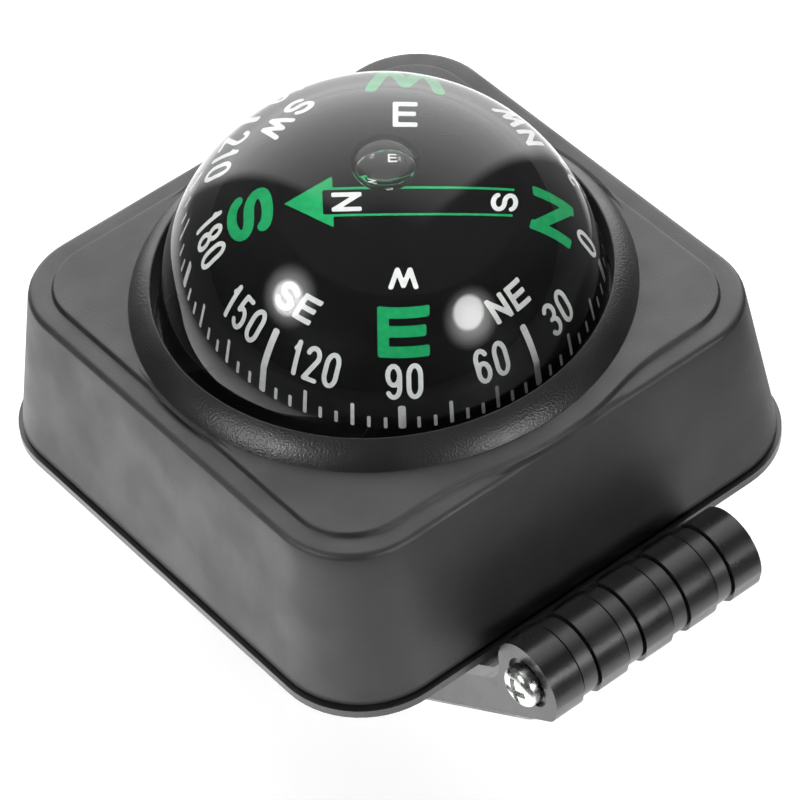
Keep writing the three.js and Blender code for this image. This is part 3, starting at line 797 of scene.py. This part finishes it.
# %% [markdown]
# The hinge screw runs through all nine knuckles into a nut, and its head stands well out of
# a shallow counterbore.

# %% Hinge screw and nut
HINGE_HEAD_HEIGHT = 2.1
HINGE_SHANK_RADIUS = 1.5
HINGE_THREAD = 0.5
HEAD_TURN = radians(20)
NUT_THICKNESS = 2.2
NUT_BORE_RADIUS = 1.62
NUT_CHAMFER = 0.35
NUT_FACE_SHARE = 0.9
NUT_ROUND_SHARE = 1.01


def hinge_screw_part():
    head = -HINGE_SPAN / 2 + COUNTERBORE_DEPTH - SEAT_GAP
    end = HINGE_SPAN / 2 + NUT_THICKNESS - NUT_POCKET
    bolt = screw(SCREW_HEAD_RADIUS, HINGE_HEAD_HEIGHT, HINGE_SHANK_RADIUS, end - head, HINGE_THREAD)
    return moved(along_hinge(changed(bolt, Matrix.Rotation(HEAD_TURN, 4, "Z"))), head)


def nut_part():
    """A hexagon whose corners a turned form cuts off at both faces."""
    start = HINGE_SPAN / 2 - NUT_POCKET + SEAT_GAP
    end = start + NUT_THICKNESS
    radius = NUT_FLATS / sqrt(3)
    face, widest = radius * NUT_FACE_SHARE, radius * NUT_ROUND_SHARE
    form = [(0, start - OVERRUN), (face, start - OVERRUN), (face, start), (widest, start + NUT_CHAMFER)]
    form += [(widest, end - NUT_CHAMFER), (face, end), (face, end + OVERRUN), (0, end + OVERRUN)]
    nut = combine(drum(radius, start, end, 6), [turned(form, 48)], "INTERSECT")
    return along_hinge(combine(nut, [drum(NUT_BORE_RADIUS, start - OVERRUN, end + OVERRUN)], "DIFFERENCE"))


piece(hinge_screw_part(), "hinge_bolt", plate_place, "mount", zinc, ["hinge_screw"], smooth=28)
piece(nut_part(), "hinge_bolt_nut", plate_place, "mount", zinc, ["hinge_nut"], smooth=28)

# %% [markdown]
# ## The dial
#
# The card is a low drum: an upright skirt, a rounded shoulder and a flat top. Its profile is a
# path from the foot of the skirt to the middle of the top. The card is that path turned about
# the axis, and the print is laid along it, so that it can't float off or sink in.

# %% Dial card
DIAL_RADIUS = 17.8
SKIRT_BOTTOM = -0.7
SKIRT_TOP = 2.6
DIAL_TOP = 10.2
DIAL_TOP_RADIUS = 10.8
SHOULDER_RADIUS = 11.0
DIAL_WALL = 0.9
PATH_STEP = 0.1


shoulder = bent_slope((DIAL_RADIUS, SKIRT_TOP), (DIAL_TOP_RADIUS, DIAL_TOP), SHOULDER_RADIUS, 40)
PATH = np.array([(DIAL_RADIUS, SKIRT_BOTTOM), *shoulder, (0.0, DIAL_TOP)])
PATH_LENGTH = np.concatenate([[0], np.cumsum(np.hypot(*np.diff(PATH, axis=0).T))])


def on_path(length):
    """Radius and height at a length along the dial's path, and the direction that faces out."""
    at_length = lambda along: np.array([np.interp(along, PATH_LENGTH, column) for column in PATH.T])
    run = at_length(length + PATH_STEP) - at_length(length - PATH_STEP)
    run /= np.hypot(*run)
    return *at_length(length), run[1], -run[0]


def dial_card_part():
    outside = [tuple(point) for point in PATH]
    inside = [(max(r - DIAL_WALL, 0), z - DIAL_WALL * (z > SKIRT_TOP)) for r, z in outside[::-1]]
    inside[-1] = (DIAL_RADIUS - DIAL_WALL, SKIRT_BOTTOM)
    return turned([*outside, *inside, outside[0]], 128)


piece(dial_card_part(), "dial_drum", dial_place, "dial", card_plastic, ["dial_card"], smooth=40)
print("path along the dial:", round(float(PATH_LENGTH[-1]), 1), "mm")

# %% [markdown]
# The print is drawn as strokes of ink. Each sign is a few strokes inside a box, straight or
# bent, and the ink is everything within half a stroke of their middle lines.

# %% Signs as strokes of ink
def bent(centre, radii, start, end, steps=14):
    turns = np.radians(np.linspace(start, end, steps + 1))
    return [(centre[0] + radii[0] * cos(t), centre[1] + radii[1] * sin(t)) for t in turns]


upper_bowl = ((0.5, 0.76), (0.5, 0.24))
lower_bowl = ((0.5, 0.26), (0.5, 0.26))
SIGN_SHARES = {
    "N": [[(0, 0), (0, 1)], [(0, 1), (0.5, 0.5), (1, 0)], [(1, 0), (1, 1)]],
    "E": [[(0, 0), (0, 1)], [(0, 1), (1, 1)], [(0, 0.52), (0.92, 0.52)], [(0, 0), (1, 0)]],
    "S": [bent((0.5, 0.75), (0.5, 0.25), 15, 250) + bent((0.5, 0.25), (0.5, 0.25), 70, -165)],
    "W": [[(0, 1), (0.25, 0), (0.5, 0.92), (0.75, 0), (1, 1)]],
    "0": [bent((0.5, 0.68), (0.5, 0.32), 0, 180) + bent((0.5, 0.32), (0.5, 0.32), 180, 360) + [(1, 0.68)]],
    "1": [[(0.6, 0), (0.6, 1)], [(0.6, 1), (0.45, 0.86), (0.15, 0.78)]],
    "2": [bent(*upper_bowl, 165, -30) + [(0, 0)], [(0, 0), (1, 0)]],
    "3": [bent(*upper_bowl, 150, -90) + [(0.4, 0.52)], bent(*lower_bowl, 90, -150)],
    "4": [[(0.78, 0), (0.78, 1)], [(0.78, 1), (0.4, 0.62), (0, 0.26)], [(0, 0.26), (1, 0.26)]],
    "5": [
        [(0.9, 1), (0.22, 1)],
        [(0.22, 1), (0.16, 0.8), (0.1, 0.52)],
        bent((0.48, 0.31), (0.5, 0.31), 135, -150),
    ],
    "6": [bent((0.5, 0.3), (0.5, 0.3), 0, 360), bent((0.52, 0.68), (0.52, 0.32), 35, 180) + [(0, 0.3)]],
    "7": [[(0, 1), (1, 1)], [(1, 1), (0.55, 0.5), (0.35, 0)]],
    "8": [bent((0.5, 0.76), (0.44, 0.24), 0, 360), bent(*lower_bowl, 0, 360)],
    "9": [bent((0.5, 0.7), (0.5, 0.3), 0, 360), bent((0.48, 0.32), (0.52, 0.32), -145, 0) + [(1, 0.7)]],
}
SIGN_WIDTH_SHARE = {"W": 1.35, "1": 0.62}


def stroke_distance(x, y, a, b, half, corner):
    """How far each point lies outside a straight stroke with rounded ends."""
    run = np.subtract(b, a)
    length = hypot(*run) or 1e-9
    along = ((x - a[0]) * run[0] + (y - a[1]) * run[1]) / length
    across = np.abs((y - a[1]) * run[0] - (x - a[0]) * run[1]) / length
    past = np.maximum(np.maximum(-along, along - length), 0)
    past = np.maximum(past - (half - corner), 0)
    beside = np.maximum(across - (half - corner), 0)
    inside = np.minimum(np.maximum(across - half, np.maximum(-along, along - length) - half), 0)
    return np.where(past + beside > 0, np.hypot(past, beside) - corner, inside)


def sign_distance(sign, width, height, half, corner):
    """A function of x and y that is negative where the sign has ink."""
    strokes = []
    for line in SIGN_SHARES[sign]:
        bends = [(half + sx * (width - 2 * half), half + sy * (height - 2 * half)) for sx, sy in line]
        blunt = corner if len(bends) == 2 else half
        strokes += [(a, b, blunt) for a, b in zip(bends, bends[1:])]
    return lambda x, y: np.minimum.reduce([stroke_distance(x, y, a, b, half, c) for a, b, c in strokes])


# %% [markdown]
# A fine grid is cut along the edge of the ink: its corners that lie in the ink are kept, and
# on each grid edge that leaves the ink a new point goes where the ink ends. The print is a
# closed layer a few hundredths of a millimetre thick.

# %% From ink to mesh
PRINT_THICKNESS = 0.03
PRINT_BITE = 0.02
INK_PITCH = 0.1
INK_SPARE = 0.05
SLIVER = 0.02


def ink_cells(shape, low, high, pitch):
    """Points and cells of the inked part of a grid between two corners."""
    columns, rows = (max(2, ceil((end - start) / pitch)) for start, end in zip(low, high))
    xs = np.linspace(low[0], high[0], columns + 1)
    ys = np.linspace(low[1], high[1], rows + 1)
    values = shape(*np.meshgrid(xs, ys, indexing="ij"))
    points, known, cells = [], {}, []

    def point_at(key, x, y):
        if key not in known:
            known[key] = len(points)
            points.append((x, y))
        return known[key]

    for i in range(columns):
        for j in range(rows):
            ring = [(i, j), (i + 1, j), (i + 1, j + 1), (i, j + 1)]
            inked = [values[a, b] < 0 for a, b in ring]
            if not any(inked):
                continue
            cell = []
            for k, (a, b) in enumerate(ring):
                c, d = ring[(k + 1) % 4]
                if inked[k]:
                    cell.append(point_at((a, b), xs[a], ys[b]))
                if inked[k] != inked[(k + 1) % 4]:
                    share = values[a, b] / (values[a, b] - values[c, d])
                    share = min(max(share, SLIVER), 1 - SLIVER)
                    x = xs[a] + share * (xs[c] - xs[a])
                    y = ys[b] + share * (ys[d] - ys[b])
                    cell.append(point_at(frozenset(((a, b), (c, d))), x, y))
            if len(cell) > 2:
                cells.append(cell)
    return points, cells


def add_print(ink, shape, low, high, lay, pitch=INK_PITCH):
    """A closed layer laid on the dial by lay(x, y, lift), added to an ink's points and faces."""
    points, faces = ink
    flat, cells = ink_cells(shape, low, high, pitch)
    start, count = len(points), len(flat)
    points += [lay(x, y, lift) for lift in (PRINT_THICKNESS, -PRINT_BITE) for x, y in flat]
    edges = {(a, b): None for cell in cells for a, b in zip(cell, cell[1:] + cell[:1])}
    layer = cells + [[index + count for index in cell[::-1]] for cell in cells]
    layer += [(b, a, a + count, b + count) for a, b in edges if (b, a) not in edges]
    faces += [[index + start for index in face] for face in layer]


def on_shoulder(heading, foot, slip=0.0):
    """Lays x along the circle and y up the path, with tops towards the middle of the dial."""
    start = -radians(heading)

    def lay(x, y, lift):
        r, z, out_r, out_z = on_path(foot + y - slip * cos(start))
        turn = start + (x - slip * sin(start)) / r
        r, z = r + out_r * lift, z + out_z * lift
        return (r * cos(turn), r * sin(turn), z)
    return lay


def on_top(heading, radius):
    """Lays a sign flat on the dial's top, its foot at a radius and its top away from the middle."""
    turn = -radians(heading)

    def lay(x, y, lift):
        r = radius + y
        across = r * cos(turn) + x * sin(turn) + TOP_SLIP
        return (across, r * sin(turn) - x * cos(turn), DIAL_TOP + lift)
    return lay


# %% [markdown]
# The pale ink has the figures, the marks every five degrees and the small letters, and the
# green one the four large letters and the arrow. A heading on the dial runs clockwise from its
# north. The large letters name the side that faces the driver, and the arrow and letters on
# top give the true directions, so they are the other way round.

# %% Layout of the dial
Lettering = namedtuple("Lettering", "foot height width stroke step corner")
FIGURES = Lettering(3.85, 3.6, 1.58, 0.46, 1.98, 1.0)
CORNERS = Lettering(8.75, 2.6, 2.0, 0.5, 2.4, 0.5)
LARGE = Lettering(8.0, 4.8, 4.9, 1.08, 0.0, 0.4)
ON_TOP = Lettering(0.0, 2.6, 2.05, 0.46, 0.0, 0.5)
TICKS = {90: (2.9, 0.72), 45: (7.2, 0.68), 15: (2.8, 0.36), 5: (1.4, 0.33)}
TICK_FOOT = 0.25
TICK_SPARE = 0.02
TICK_PITCH = 0.12
SOUTH_SLIP = 0.8
TOP_SLIP = 0.28

pale, green = ([], []), ([], [])


def word(ink, text, style, lay):
    """A word centred on its place, its foot on y = 0."""
    widths = [style.width * SIGN_WIDTH_SHARE.get(sign, 1.0) for sign in text]
    x = -(sum(widths) + (style.step - style.width) * (len(text) - 1)) / 2
    half = style.stroke / 2
    for sign, wide in zip(text, widths):
        shape = sign_distance(sign, wide, style.height, half, half * style.corner)
        shift = lambda a, b, lift, x0=x: lay(a + x0, b, lift)
        far = (wide + INK_SPARE, style.height + INK_SPARE)
        add_print(ink, shape, (-INK_SPARE, -INK_SPARE), far, shift)
        x += wide + style.step - style.width


def tick(heading, length, width):
    half = width / 2
    shape = lambda x, y: stroke_distance(x, y, (0, half), (0, length - half), half, half * 0.8)
    low, high = (-half - TICK_SPARE, -TICK_SPARE), (half + TICK_SPARE, length + TICK_SPARE)
    add_print(pale, shape, low, high, on_shoulder(heading, TICK_FOOT), TICK_PITCH)


def dial_ticks():
    """The mark at each heading is that of the largest step that divides it."""
    for heading in range(0, 360, min(TICKS)):
        tick(heading, *next(size for step, size in TICKS.items() if heading % step == 0))


def slip(heading):
    """The print isn't quite centred: its south side sits closer to the middle of the card."""
    return SOUTH_SLIP * abs(sin(radians(heading / 2))) ** 3


def dial_words():
    figures = [(heading, str(heading)) for heading in range(0, 360, 30)]
    corners = ((45, "NE"), (135, "SE"), (225, "SW"), (315, "NW"))
    large = ((0, "N"), (90, "E"), (180, "S"), (270, "W"))
    for ink, style, words in ((pale, FIGURES, figures), (pale, CORNERS, corners), (green, LARGE, large)):
        for heading, text in words:
            word(ink, text, style, on_shoulder(heading, style.foot, slip(heading)))
    for heading, text, middle in ((0, "S", 8.95), (90, "W", 8.85), (270, "E", 9.1), (180, "N", 5.0)):
        word(pale, text, ON_TOP, on_top(heading, middle - ON_TOP.height / 2))


dial_ticks()
dial_words()
print("pale print:", len(pale[1]), "faces, green print:", len(green[1]))

# %% [markdown]
# The arrow is two thin lines with a solid head that the black of the card cuts into: one more
# shape of ink, made of half-planes and strokes.

# %% Arrow
ARROW_TIP = 10.2
ARROW_BARB = 5.9
ARROW_HALF = 2.78
SHAFT_HALF = 1.46
SHAFT_LINE = 0.24
SHAFT_END = 10.0
NOTCH = 6.8
ARROW_SPARE = 0.1
ARROW_PITCH = 0.14


def arrow_distance(x, y):
    """The arrow points along +x of its own plane."""
    slope = ARROW_HALF / (ARROW_TIP - ARROW_BARB)
    side = (np.abs(y) - (ARROW_TIP - x) * slope) / hypot(1, slope)
    head = np.maximum(side, ARROW_BARB - x)
    hollow = np.maximum(np.abs(y) - (SHAFT_HALF - SHAFT_LINE / 2), x - NOTCH)
    head = np.maximum(head, -hollow)
    ends = [((-SHAFT_END, s * SHAFT_HALF), (NOTCH, s * SHAFT_HALF)) for s in (-1, 1)]
    return np.minimum.reduce([head, *(stroke_distance(x, y, a, b, SHAFT_LINE / 2, 0.1) for a, b in ends)])


def lay_arrow(x, y, lift):
    return (-x, -y, DIAL_TOP + lift)


tail = (-SHAFT_END - 3 * ARROW_SPARE, -ARROW_HALF - ARROW_SPARE)
tip = (ARROW_TIP + ARROW_SPARE, ARROW_HALF + ARROW_SPARE)
add_print(green, arrow_distance, tail, tip, lay_arrow, ARROW_PITCH)


def ink_material(name, dark, light):
    dull = {"Roughness": 0.5, "Specular IOR Level": IN_LIQUID}
    material, shader, place = blank(name, dark, light, 0.6, **dull)
    grain(place, shader, spots(0.12), 0.004 * MM)
    return material


pale_ink = ink_material("pale ink", (0.67, 0.69, 0.67), (0.75, 0.77, 0.75))
green_ink = ink_material("green ink", (0.011, 0.3, 0.1), (0.015, 0.35, 0.115))
for name, ink, material in (("pale", pale, pale_ink), ("green", green, green_ink)):
    piece(loose(*ink), f"dial_print_{name}", dial_place, "dial", material, smooth=60)

# %% [markdown]
# ## The ball
#
# The dome is clear acrylic and the liquid behind it bends light nearly as much, so the eye
# sees one thick lens that makes the dial look larger. They are one closed body here, which
# bends light like the liquid and mirrors the room like the acrylic. Its lower side lies inside
# the wall of the bowl, so that no stray mirror shows there. Shadow rays are let through, or
# everything inside would be dark.

# %% Dome and liquid
BALL_RADIUS = 24.4
FLANGE_RADIUS = 27.4
FLANGE_TOP = -1.3
FLANGE_BOTTOM = -2.9
LIQUID_BOTTOM = -15.6
LIQUID_BEND = 7.6
LIQUID_RADIUS = 23.8
INSIDE_FLANGE = 24.3
BOWL_TOP = -4.3
BALL_INDEX = 1.37
SKIN_INDEX = 1.49


def clear_material(name, index, skin_index):
    material, tree = material_and_tree(name)
    tree.nodes.clear()
    bend = node_of(tree, "BsdfRefraction", IOR=index, Roughness=0.0, Color=WHITE)
    mirror = node_of(tree, "BsdfAnisotropic", Roughness=0.0, Color=WHITE)
    glass = node_of(tree, "MixShader", node_of(tree, "Fresnel", IOR=skin_index), bend, mirror)
    shadow = node_of(tree, "LightPath").outputs["Is Shadow Ray"]
    mix = node_of(tree, "MixShader", shadow, glass, node_of(tree, "BsdfTransparent"))
    node_of(tree, "OutputMaterial", mix)
    return material


def ball_part():
    low = degrees(asin(FLANGE_TOP / BALL_RADIUS))
    dome = arc((0, 0), BALL_RADIUS, low, 90, 48)
    bend = (LIQUID_RADIUS - LIQUID_BEND, LIQUID_BOTTOM + LIQUID_BEND)
    profile = [(0, LIQUID_BOTTOM), *arc(bend, LIQUID_BEND, -90, 0, 10), (LIQUID_RADIUS, BOWL_TOP)]
    profile += [(INSIDE_FLANGE, BOWL_TOP), (INSIDE_FLANGE, FLANGE_BOTTOM)]
    profile += [(FLANGE_RADIUS, FLANGE_BOTTOM), (FLANGE_RADIUS, FLANGE_TOP)]
    profile += [*dome[:-1], (0, BALL_RADIUS)]
    return turned(profile, 160)


clear_ball = clear_material("clear dome and liquid", BALL_INDEX, SKIN_INDEX)
piece(ball_part(), "dome_and_liquid", ball_place, "case", clear_ball, ["clear_dome"], smooth=30)

# %% [markdown]
# Such a ball always keeps an air bubble, and gravity takes it close to the top of the dome.
# Its upper side follows the dome and its lower side bulges down. Air is the thinner medium, so
# its index is the inverse of the liquid's.

# %% Bubble
BUBBLE_RADIUS = 3.5
BUBBLE_DEPTH = 3.7
BUBBLE_TOP = 22.9
BUBBLE_ROLL = 0.35
BUBBLE_ASIDE = (-0.55, -1.45)


def bubble_part():
    profile = [(0, BUBBLE_TOP - BUBBLE_DEPTH)]
    edge = sqrt(BUBBLE_TOP**2 - BUBBLE_RADIUS**2) - BUBBLE_ROLL
    for angle in np.linspace(0, pi / 2, 25)[1:]:
        z = edge - (edge - BUBBLE_TOP + BUBBLE_DEPTH) * cos(angle)
        profile.append((BUBBLE_RADIUS * sin(angle), z))
    for turn in np.linspace(1, 0, 17)[1:]:
        x = BUBBLE_RADIUS * turn
        profile.append((x, sqrt(BUBBLE_TOP**2 - x**2) - BUBBLE_ROLL * turn**6))
    return turned(profile, 64)


bubble_air = clear_material("bubble", 1 / BALL_INDEX, 1 / BALL_INDEX)
ball_centre = ball_place.to_translation()
bubble_lean = Vector((*BUBBLE_ASIDE, BUBBLE_TOP)).to_track_quat("Z", "Y").to_matrix()
bubble_place = placed(ball_centre, bubble_lean)
piece(bubble_part(), "air_bubble", bubble_place, "case", bubble_air, smooth=60)

# %% [markdown]
# The lower half of the capsule is a black bowl. Only the band of it just below the dome can
# be seen, past the edge of the dial, but there the facets of a coarse solid would show.

# %% Bowl and hidden pieces
BOWL_RADIUS = 24.8
BOWL_INSIDE = 23.2
BOWL_BOTTOM = -17.0
BOWL_FLOOR = -15.0
BOWL_BEND = 9.0
BOWL_BEND_INSIDE = 7.0
RIM_THICKNESS = 1.6
FILLER_RADIUS = 2.7
FILLER_ASIDE = 17.0
POST_RADIUS = 2.3


def bowl_part():
    bend = (BOWL_RADIUS - BOWL_BEND, BOWL_BOTTOM + BOWL_BEND)
    inner_bend = (BOWL_INSIDE - BOWL_BEND_INSIDE, BOWL_FLOOR + BOWL_BEND_INSIDE)
    under_rim = BOWL_TOP - RIM_THICKNESS
    profile = [(0, BOWL_BOTTOM), *arc(bend, BOWL_BEND, -90, 0, 12), (BOWL_RADIUS, under_rim)]
    profile += [(FLANGE_RADIUS, under_rim), (FLANGE_RADIUS, BOWL_TOP), (BOWL_INSIDE, BOWL_TOP)]
    profile += [*arc(inner_bend, BOWL_BEND_INSIDE, 0, -90, 12), (0, BOWL_FLOOR)]
    filler_hole = drum(FILLER_RADIUS, BOWL_BOTTOM - OVERRUN, BOWL_FLOOR + OVERRUN)
    post_hole = drum(POST_RADIUS, BOWL_BOTTOM + OVERRUN, BOWL_FLOOR + OVERRUN)
    holes = [moved(filler_hole, y=FILLER_ASIDE), moved(post_hole, x=pivot_place.x / MM)]
    return combine(turned(profile), holes, "DIFFERENCE")


bowl = bowl_part()
piece(bowl, "capsule_lower_half", ball_place, "case", bowl_plastic, ["capsule_bowl"], smooth=40)

KEPT_NODES = {
    "adhesive_pad": pad_foam,
    "dome_seal": rubber,
    "filler_plug": rubber,
    "pivot_post": bowl_plastic,
    "pivot_pin": needle_steel,
    "jewel_cup": ruby_red,
    "jewel_collar": brass,
    "dial_base": card_plastic,
    "dial_magnet_1": magnet_skin,
    "dial_magnet_2": magnet_skin,
}
for name, material in KEPT_NODES.items():
    dress(frame["nodes"][name], material)
print("kept solids:", len(KEPT_NODES))

# %% [markdown]
# ## Studio
#
# Black plastic and glass show the room more than themselves, so the room is the look: a white
# table, a bright white sheet behind the object that reaches up over it, a dark camera side,
# and two round soft lamps left and right of the camera. The sheet is a bright patch of the
# world, and the lamps are discs of light.

# %% Studio
LAMP_AWAY = 0.9
LAMP_RADIUS = 0.29
LAMP_RADIANCE = 12.0
LAMP_CORE = (0.36, 0.5)
LAMP_FADE = (0.1, 0.9)
LAMP_HALO = 7.5
LAMP_SIDES = 64
LAMPS = {"left_lamp": (-82, 29.9, -0.02), "right_lamp": (169.5, 26.5, 0.05)}
SHEET_ROUND = 40.0
SHEET_LEFT = (0.975, 0.085, 0.207)
SHEET_RIGHT = (-0.229, 0.92, 0.316)
SHEET_EDGE = 0.05
SHEET_AHEAD = 2.2
SHEET_LEVEL = 0.8
# Painted reflection of the sheet on the table: how strongly it glows on the paper near the object and on
# the table beyond.
SHEET_NEAR = (0.05, 0.6)
SHEET_PAINTED_ON_PAPER = 0.9
SHEET_PAINTED_ON_TABLE = 2.2
ROOM_RADIANCE = 0.05
TABLE_DROP = 0.0004
TABLE_HALF = 3.0
TABLE_GREY = 0.12
TABLE_GLOW = 0.5
PAPER_WHITE = 0.8
PAPER_EDGE = (0.119, 0.161)
PAPER_SEEN = (0.084, 0.14)
PAPER_SHIFT = 0.03
PAPER_ASIDE = 0.05
# Painted light on the paper as reflections see it: its glow round the object, and the extra glow towards
# the left lamp.
PAINTED_PAPER_LIGHT = 0.95
PAPER_FADE = (0.05, 0.16)
PAINTED_LEFT_LIGHT = 0.5
LEFT_FADE = 0.06


def direction(azimuth, elevation=0.0):
    """Azimuth runs from +Y towards +X."""
    a, e = radians(azimuth), radians(elevation)
    return Vector((sin(a) * cos(e), cos(a) * cos(e), sin(e)))


def maths(operation, *sources):
    tree = next(source.id_data for source in sources if hasattr(source, "id_data"))
    return node_of(tree, "Math", *sources, operation=operation)


def soft_step(value, start, end, low=0.0, high=1.0):
    ramp = spread(value, low, high, start, end)
    ramp.interpolation_type = "SMOOTHSTEP"
    return ramp


def along(vector, axis):
    return node_of(vector.id_data, "VectorMath", vector, axis, operation="DOT_PRODUCT").outputs["Value"]


def lamp_glow(halo_drop):
    """A bright core with soft edges, and a halo whose middle may lie a little off it."""
    material, tree = material_and_tree("lamp glow")
    tree.nodes.clear()
    place = node_of(tree, "TexCoord").outputs["Object"]
    aside = maths("DIVIDE", distance(place, (0, 0, 0)), LAMP_RADIUS)
    core = soft_step(aside, *LAMP_CORE, LAMP_RADIANCE, 0.0)
    aside = maths("DIVIDE", distance(place, (0, -halo_drop, 0)), LAMP_RADIUS)
    halo = soft_step(aside, *LAMP_FADE, LAMP_HALO, 0.0)
    glow = node_of(tree, "Emission", Strength=maths("ADD", core, halo))
    both = node_of(tree, "AddShader", glow, node_of(tree, "BsdfTransparent"))
    node_of(tree, "OutputMaterial", both)
    return material


def add_lamp(name, azimuth, elevation, material):
    turns = [2 * pi * i / LAMP_SIDES for i in range(LAMP_SIDES)]
    rim = [(LAMP_RADIUS * cos(t), LAMP_RADIUS * sin(t), 0.0) for t in turns]
    lamp = loose(rim, [range(LAMP_SIDES)], name)
    towards = direction(azimuth, elevation)
    lamp.location = ball_centre + towards * LAMP_AWAY
    lamp.rotation_euler = towards.to_track_quat("Z", "Y").to_euler()
    dress(lamp, material)


def on_sheet(towards):
    """1 for directions between the two straight edges of the sheet, else 0."""
    inside = maths("MINIMUM", along(towards, SHEET_LEFT), along(towards, SHEET_RIGHT))
    return soft_step(inside, -SHEET_EDGE, SHEET_EDGE)


def white_sheet_world():
    """A bright sheet behind the object that fades towards its top; the rest of the room is dark."""
    world = bpy.data.worlds.new("studio")
    scene.world = world
    world.use_nodes = True
    tree = world.node_tree
    background = tree.nodes["Background"]
    towards = node_of(tree, "TexCoord").outputs["Generated"]
    ahead = maths("MULTIPLY", along(towards, direction(SHEET_ROUND)), SHEET_AHEAD)
    height = along(towards, (0, 0, 1))
    level = maths("SQRT", maths("SUBTRACT", 1.0, maths("MULTIPLY", height, height)))
    glow = maths("MAXIMUM", maths("MULTIPLY_ADD", level, SHEET_LEVEL, ahead), 0.0)
    room = maths("ADD", maths("MULTIPLY", on_sheet(towards), glow), ROOM_RADIANCE)
    camera_ray = node_of(tree, "LightPath").outputs["Is Camera Ray"]
    hidden = maths("SUBTRACT", 1.0, camera_ray)
    feed(background.inputs["Color"], WHITE)
    feed(background.inputs["Strength"], maths("MULTIPLY_ADD", room, hidden, camera_ray))


def white_table():
    """White paper that keeps the object's shadow, on a dark table. Reflections see a painted glow on both:
    a painted reflection of the sheet and a painted pool of light on the paper.

    From below the table can't be seen, so that the underside of the object can.
    """
    low = CAD_BOX[0][2] - TABLE_DROP
    corners = [(x * TABLE_HALF, y * TABLE_HALF, low) for x, y in ((-1, -1), (1, -1), (1, 1), (-1, 1))]
    table = loose(corners, [range(4)], "white_table")
    material, tree = material_and_tree("white table")
    shader = tree.nodes["Principled BSDF"]
    place = node_of(tree, "TexCoord").outputs["Object"]
    # Painted light: for reflections the paper glows in a pool round the object, brighter towards the left
    # lamp. This glow stands in for lit paper, and no lamp casts it.
    left = direction(LAMPS["left_lamp"][0])
    middle = direction(SHEET_ROUND) * PAPER_SHIFT + left * PAPER_ASIDE
    away = distance(place, (middle.x, middle.y, low))
    lit = soft_step(along(place, left), 0.0, LEFT_FADE, PAINTED_PAPER_LIGHT, PAINTED_PAPER_LIGHT + PAINTED_LEFT_LIGHT)
    paper = maths("MULTIPLY", lit, soft_step(away, *PAPER_FADE, 1.0, 0.0))
    white = soft_step(away, *PAPER_EDGE, PAPER_WHITE, TABLE_GREY)
    from_ball = node_of(tree, "VectorMath", place, ball_centre, operation="SUBTRACT")
    towards = node_of(tree, "VectorMath", from_ball, operation="NORMALIZE").outputs["Vector"]
    # Painted reflection: in the directions of the sheet, seen from the ball, the table glows for
    # reflections as though it mirrored the sheet, more faintly on the paper.
    sheet = soft_step(away, *SHEET_NEAR, SHEET_PAINTED_ON_PAPER, SHEET_PAINTED_ON_TABLE)
    sheet = maths("MULTIPLY", sheet, on_sheet(towards))
    # Only reflection and refraction rays see this painted glow; the camera sees the paper as lit.
    path = node_of(tree, "LightPath").outputs
    painted_glow_in_reflections = maths("MAXIMUM", path["Is Glossy Ray"], path["Is Transmission Ray"])
    painted_glow_in_reflections = maths("MULTIPLY", painted_glow_in_reflections, maths("MAXIMUM", sheet, paper))
    seen = soft_step(away, *PAPER_SEEN, TABLE_GLOW, 1.0)
    glow = maths("MULTIPLY_ADD", path["Is Camera Ray"], seen, painted_glow_in_reflections)
    colour = node_of(tree, "CombineColor", white, white, white)
    looks = {"Base Color": colour, "Roughness": 0.6, "Emission Color": WHITE, "Emission Strength": glow}
    feed_named(shader, looks)
    back = node_of(tree, "NewGeometry").outputs["Backfacing"]
    mix = node_of(tree, "MixShader", back, shader, node_of(tree, "BsdfTransparent"))
    feed(tree.nodes["Material Output"].inputs["Surface"], mix)
    dress(table, material)


white_sheet_world()
white_table()
for lamp_name, (azimuth, elevation, halo_drop) in LAMPS.items():
    add_lamp(lamp_name, azimuth, elevation, lamp_glow(halo_drop))
scene.view_settings.view_transform = "Standard"
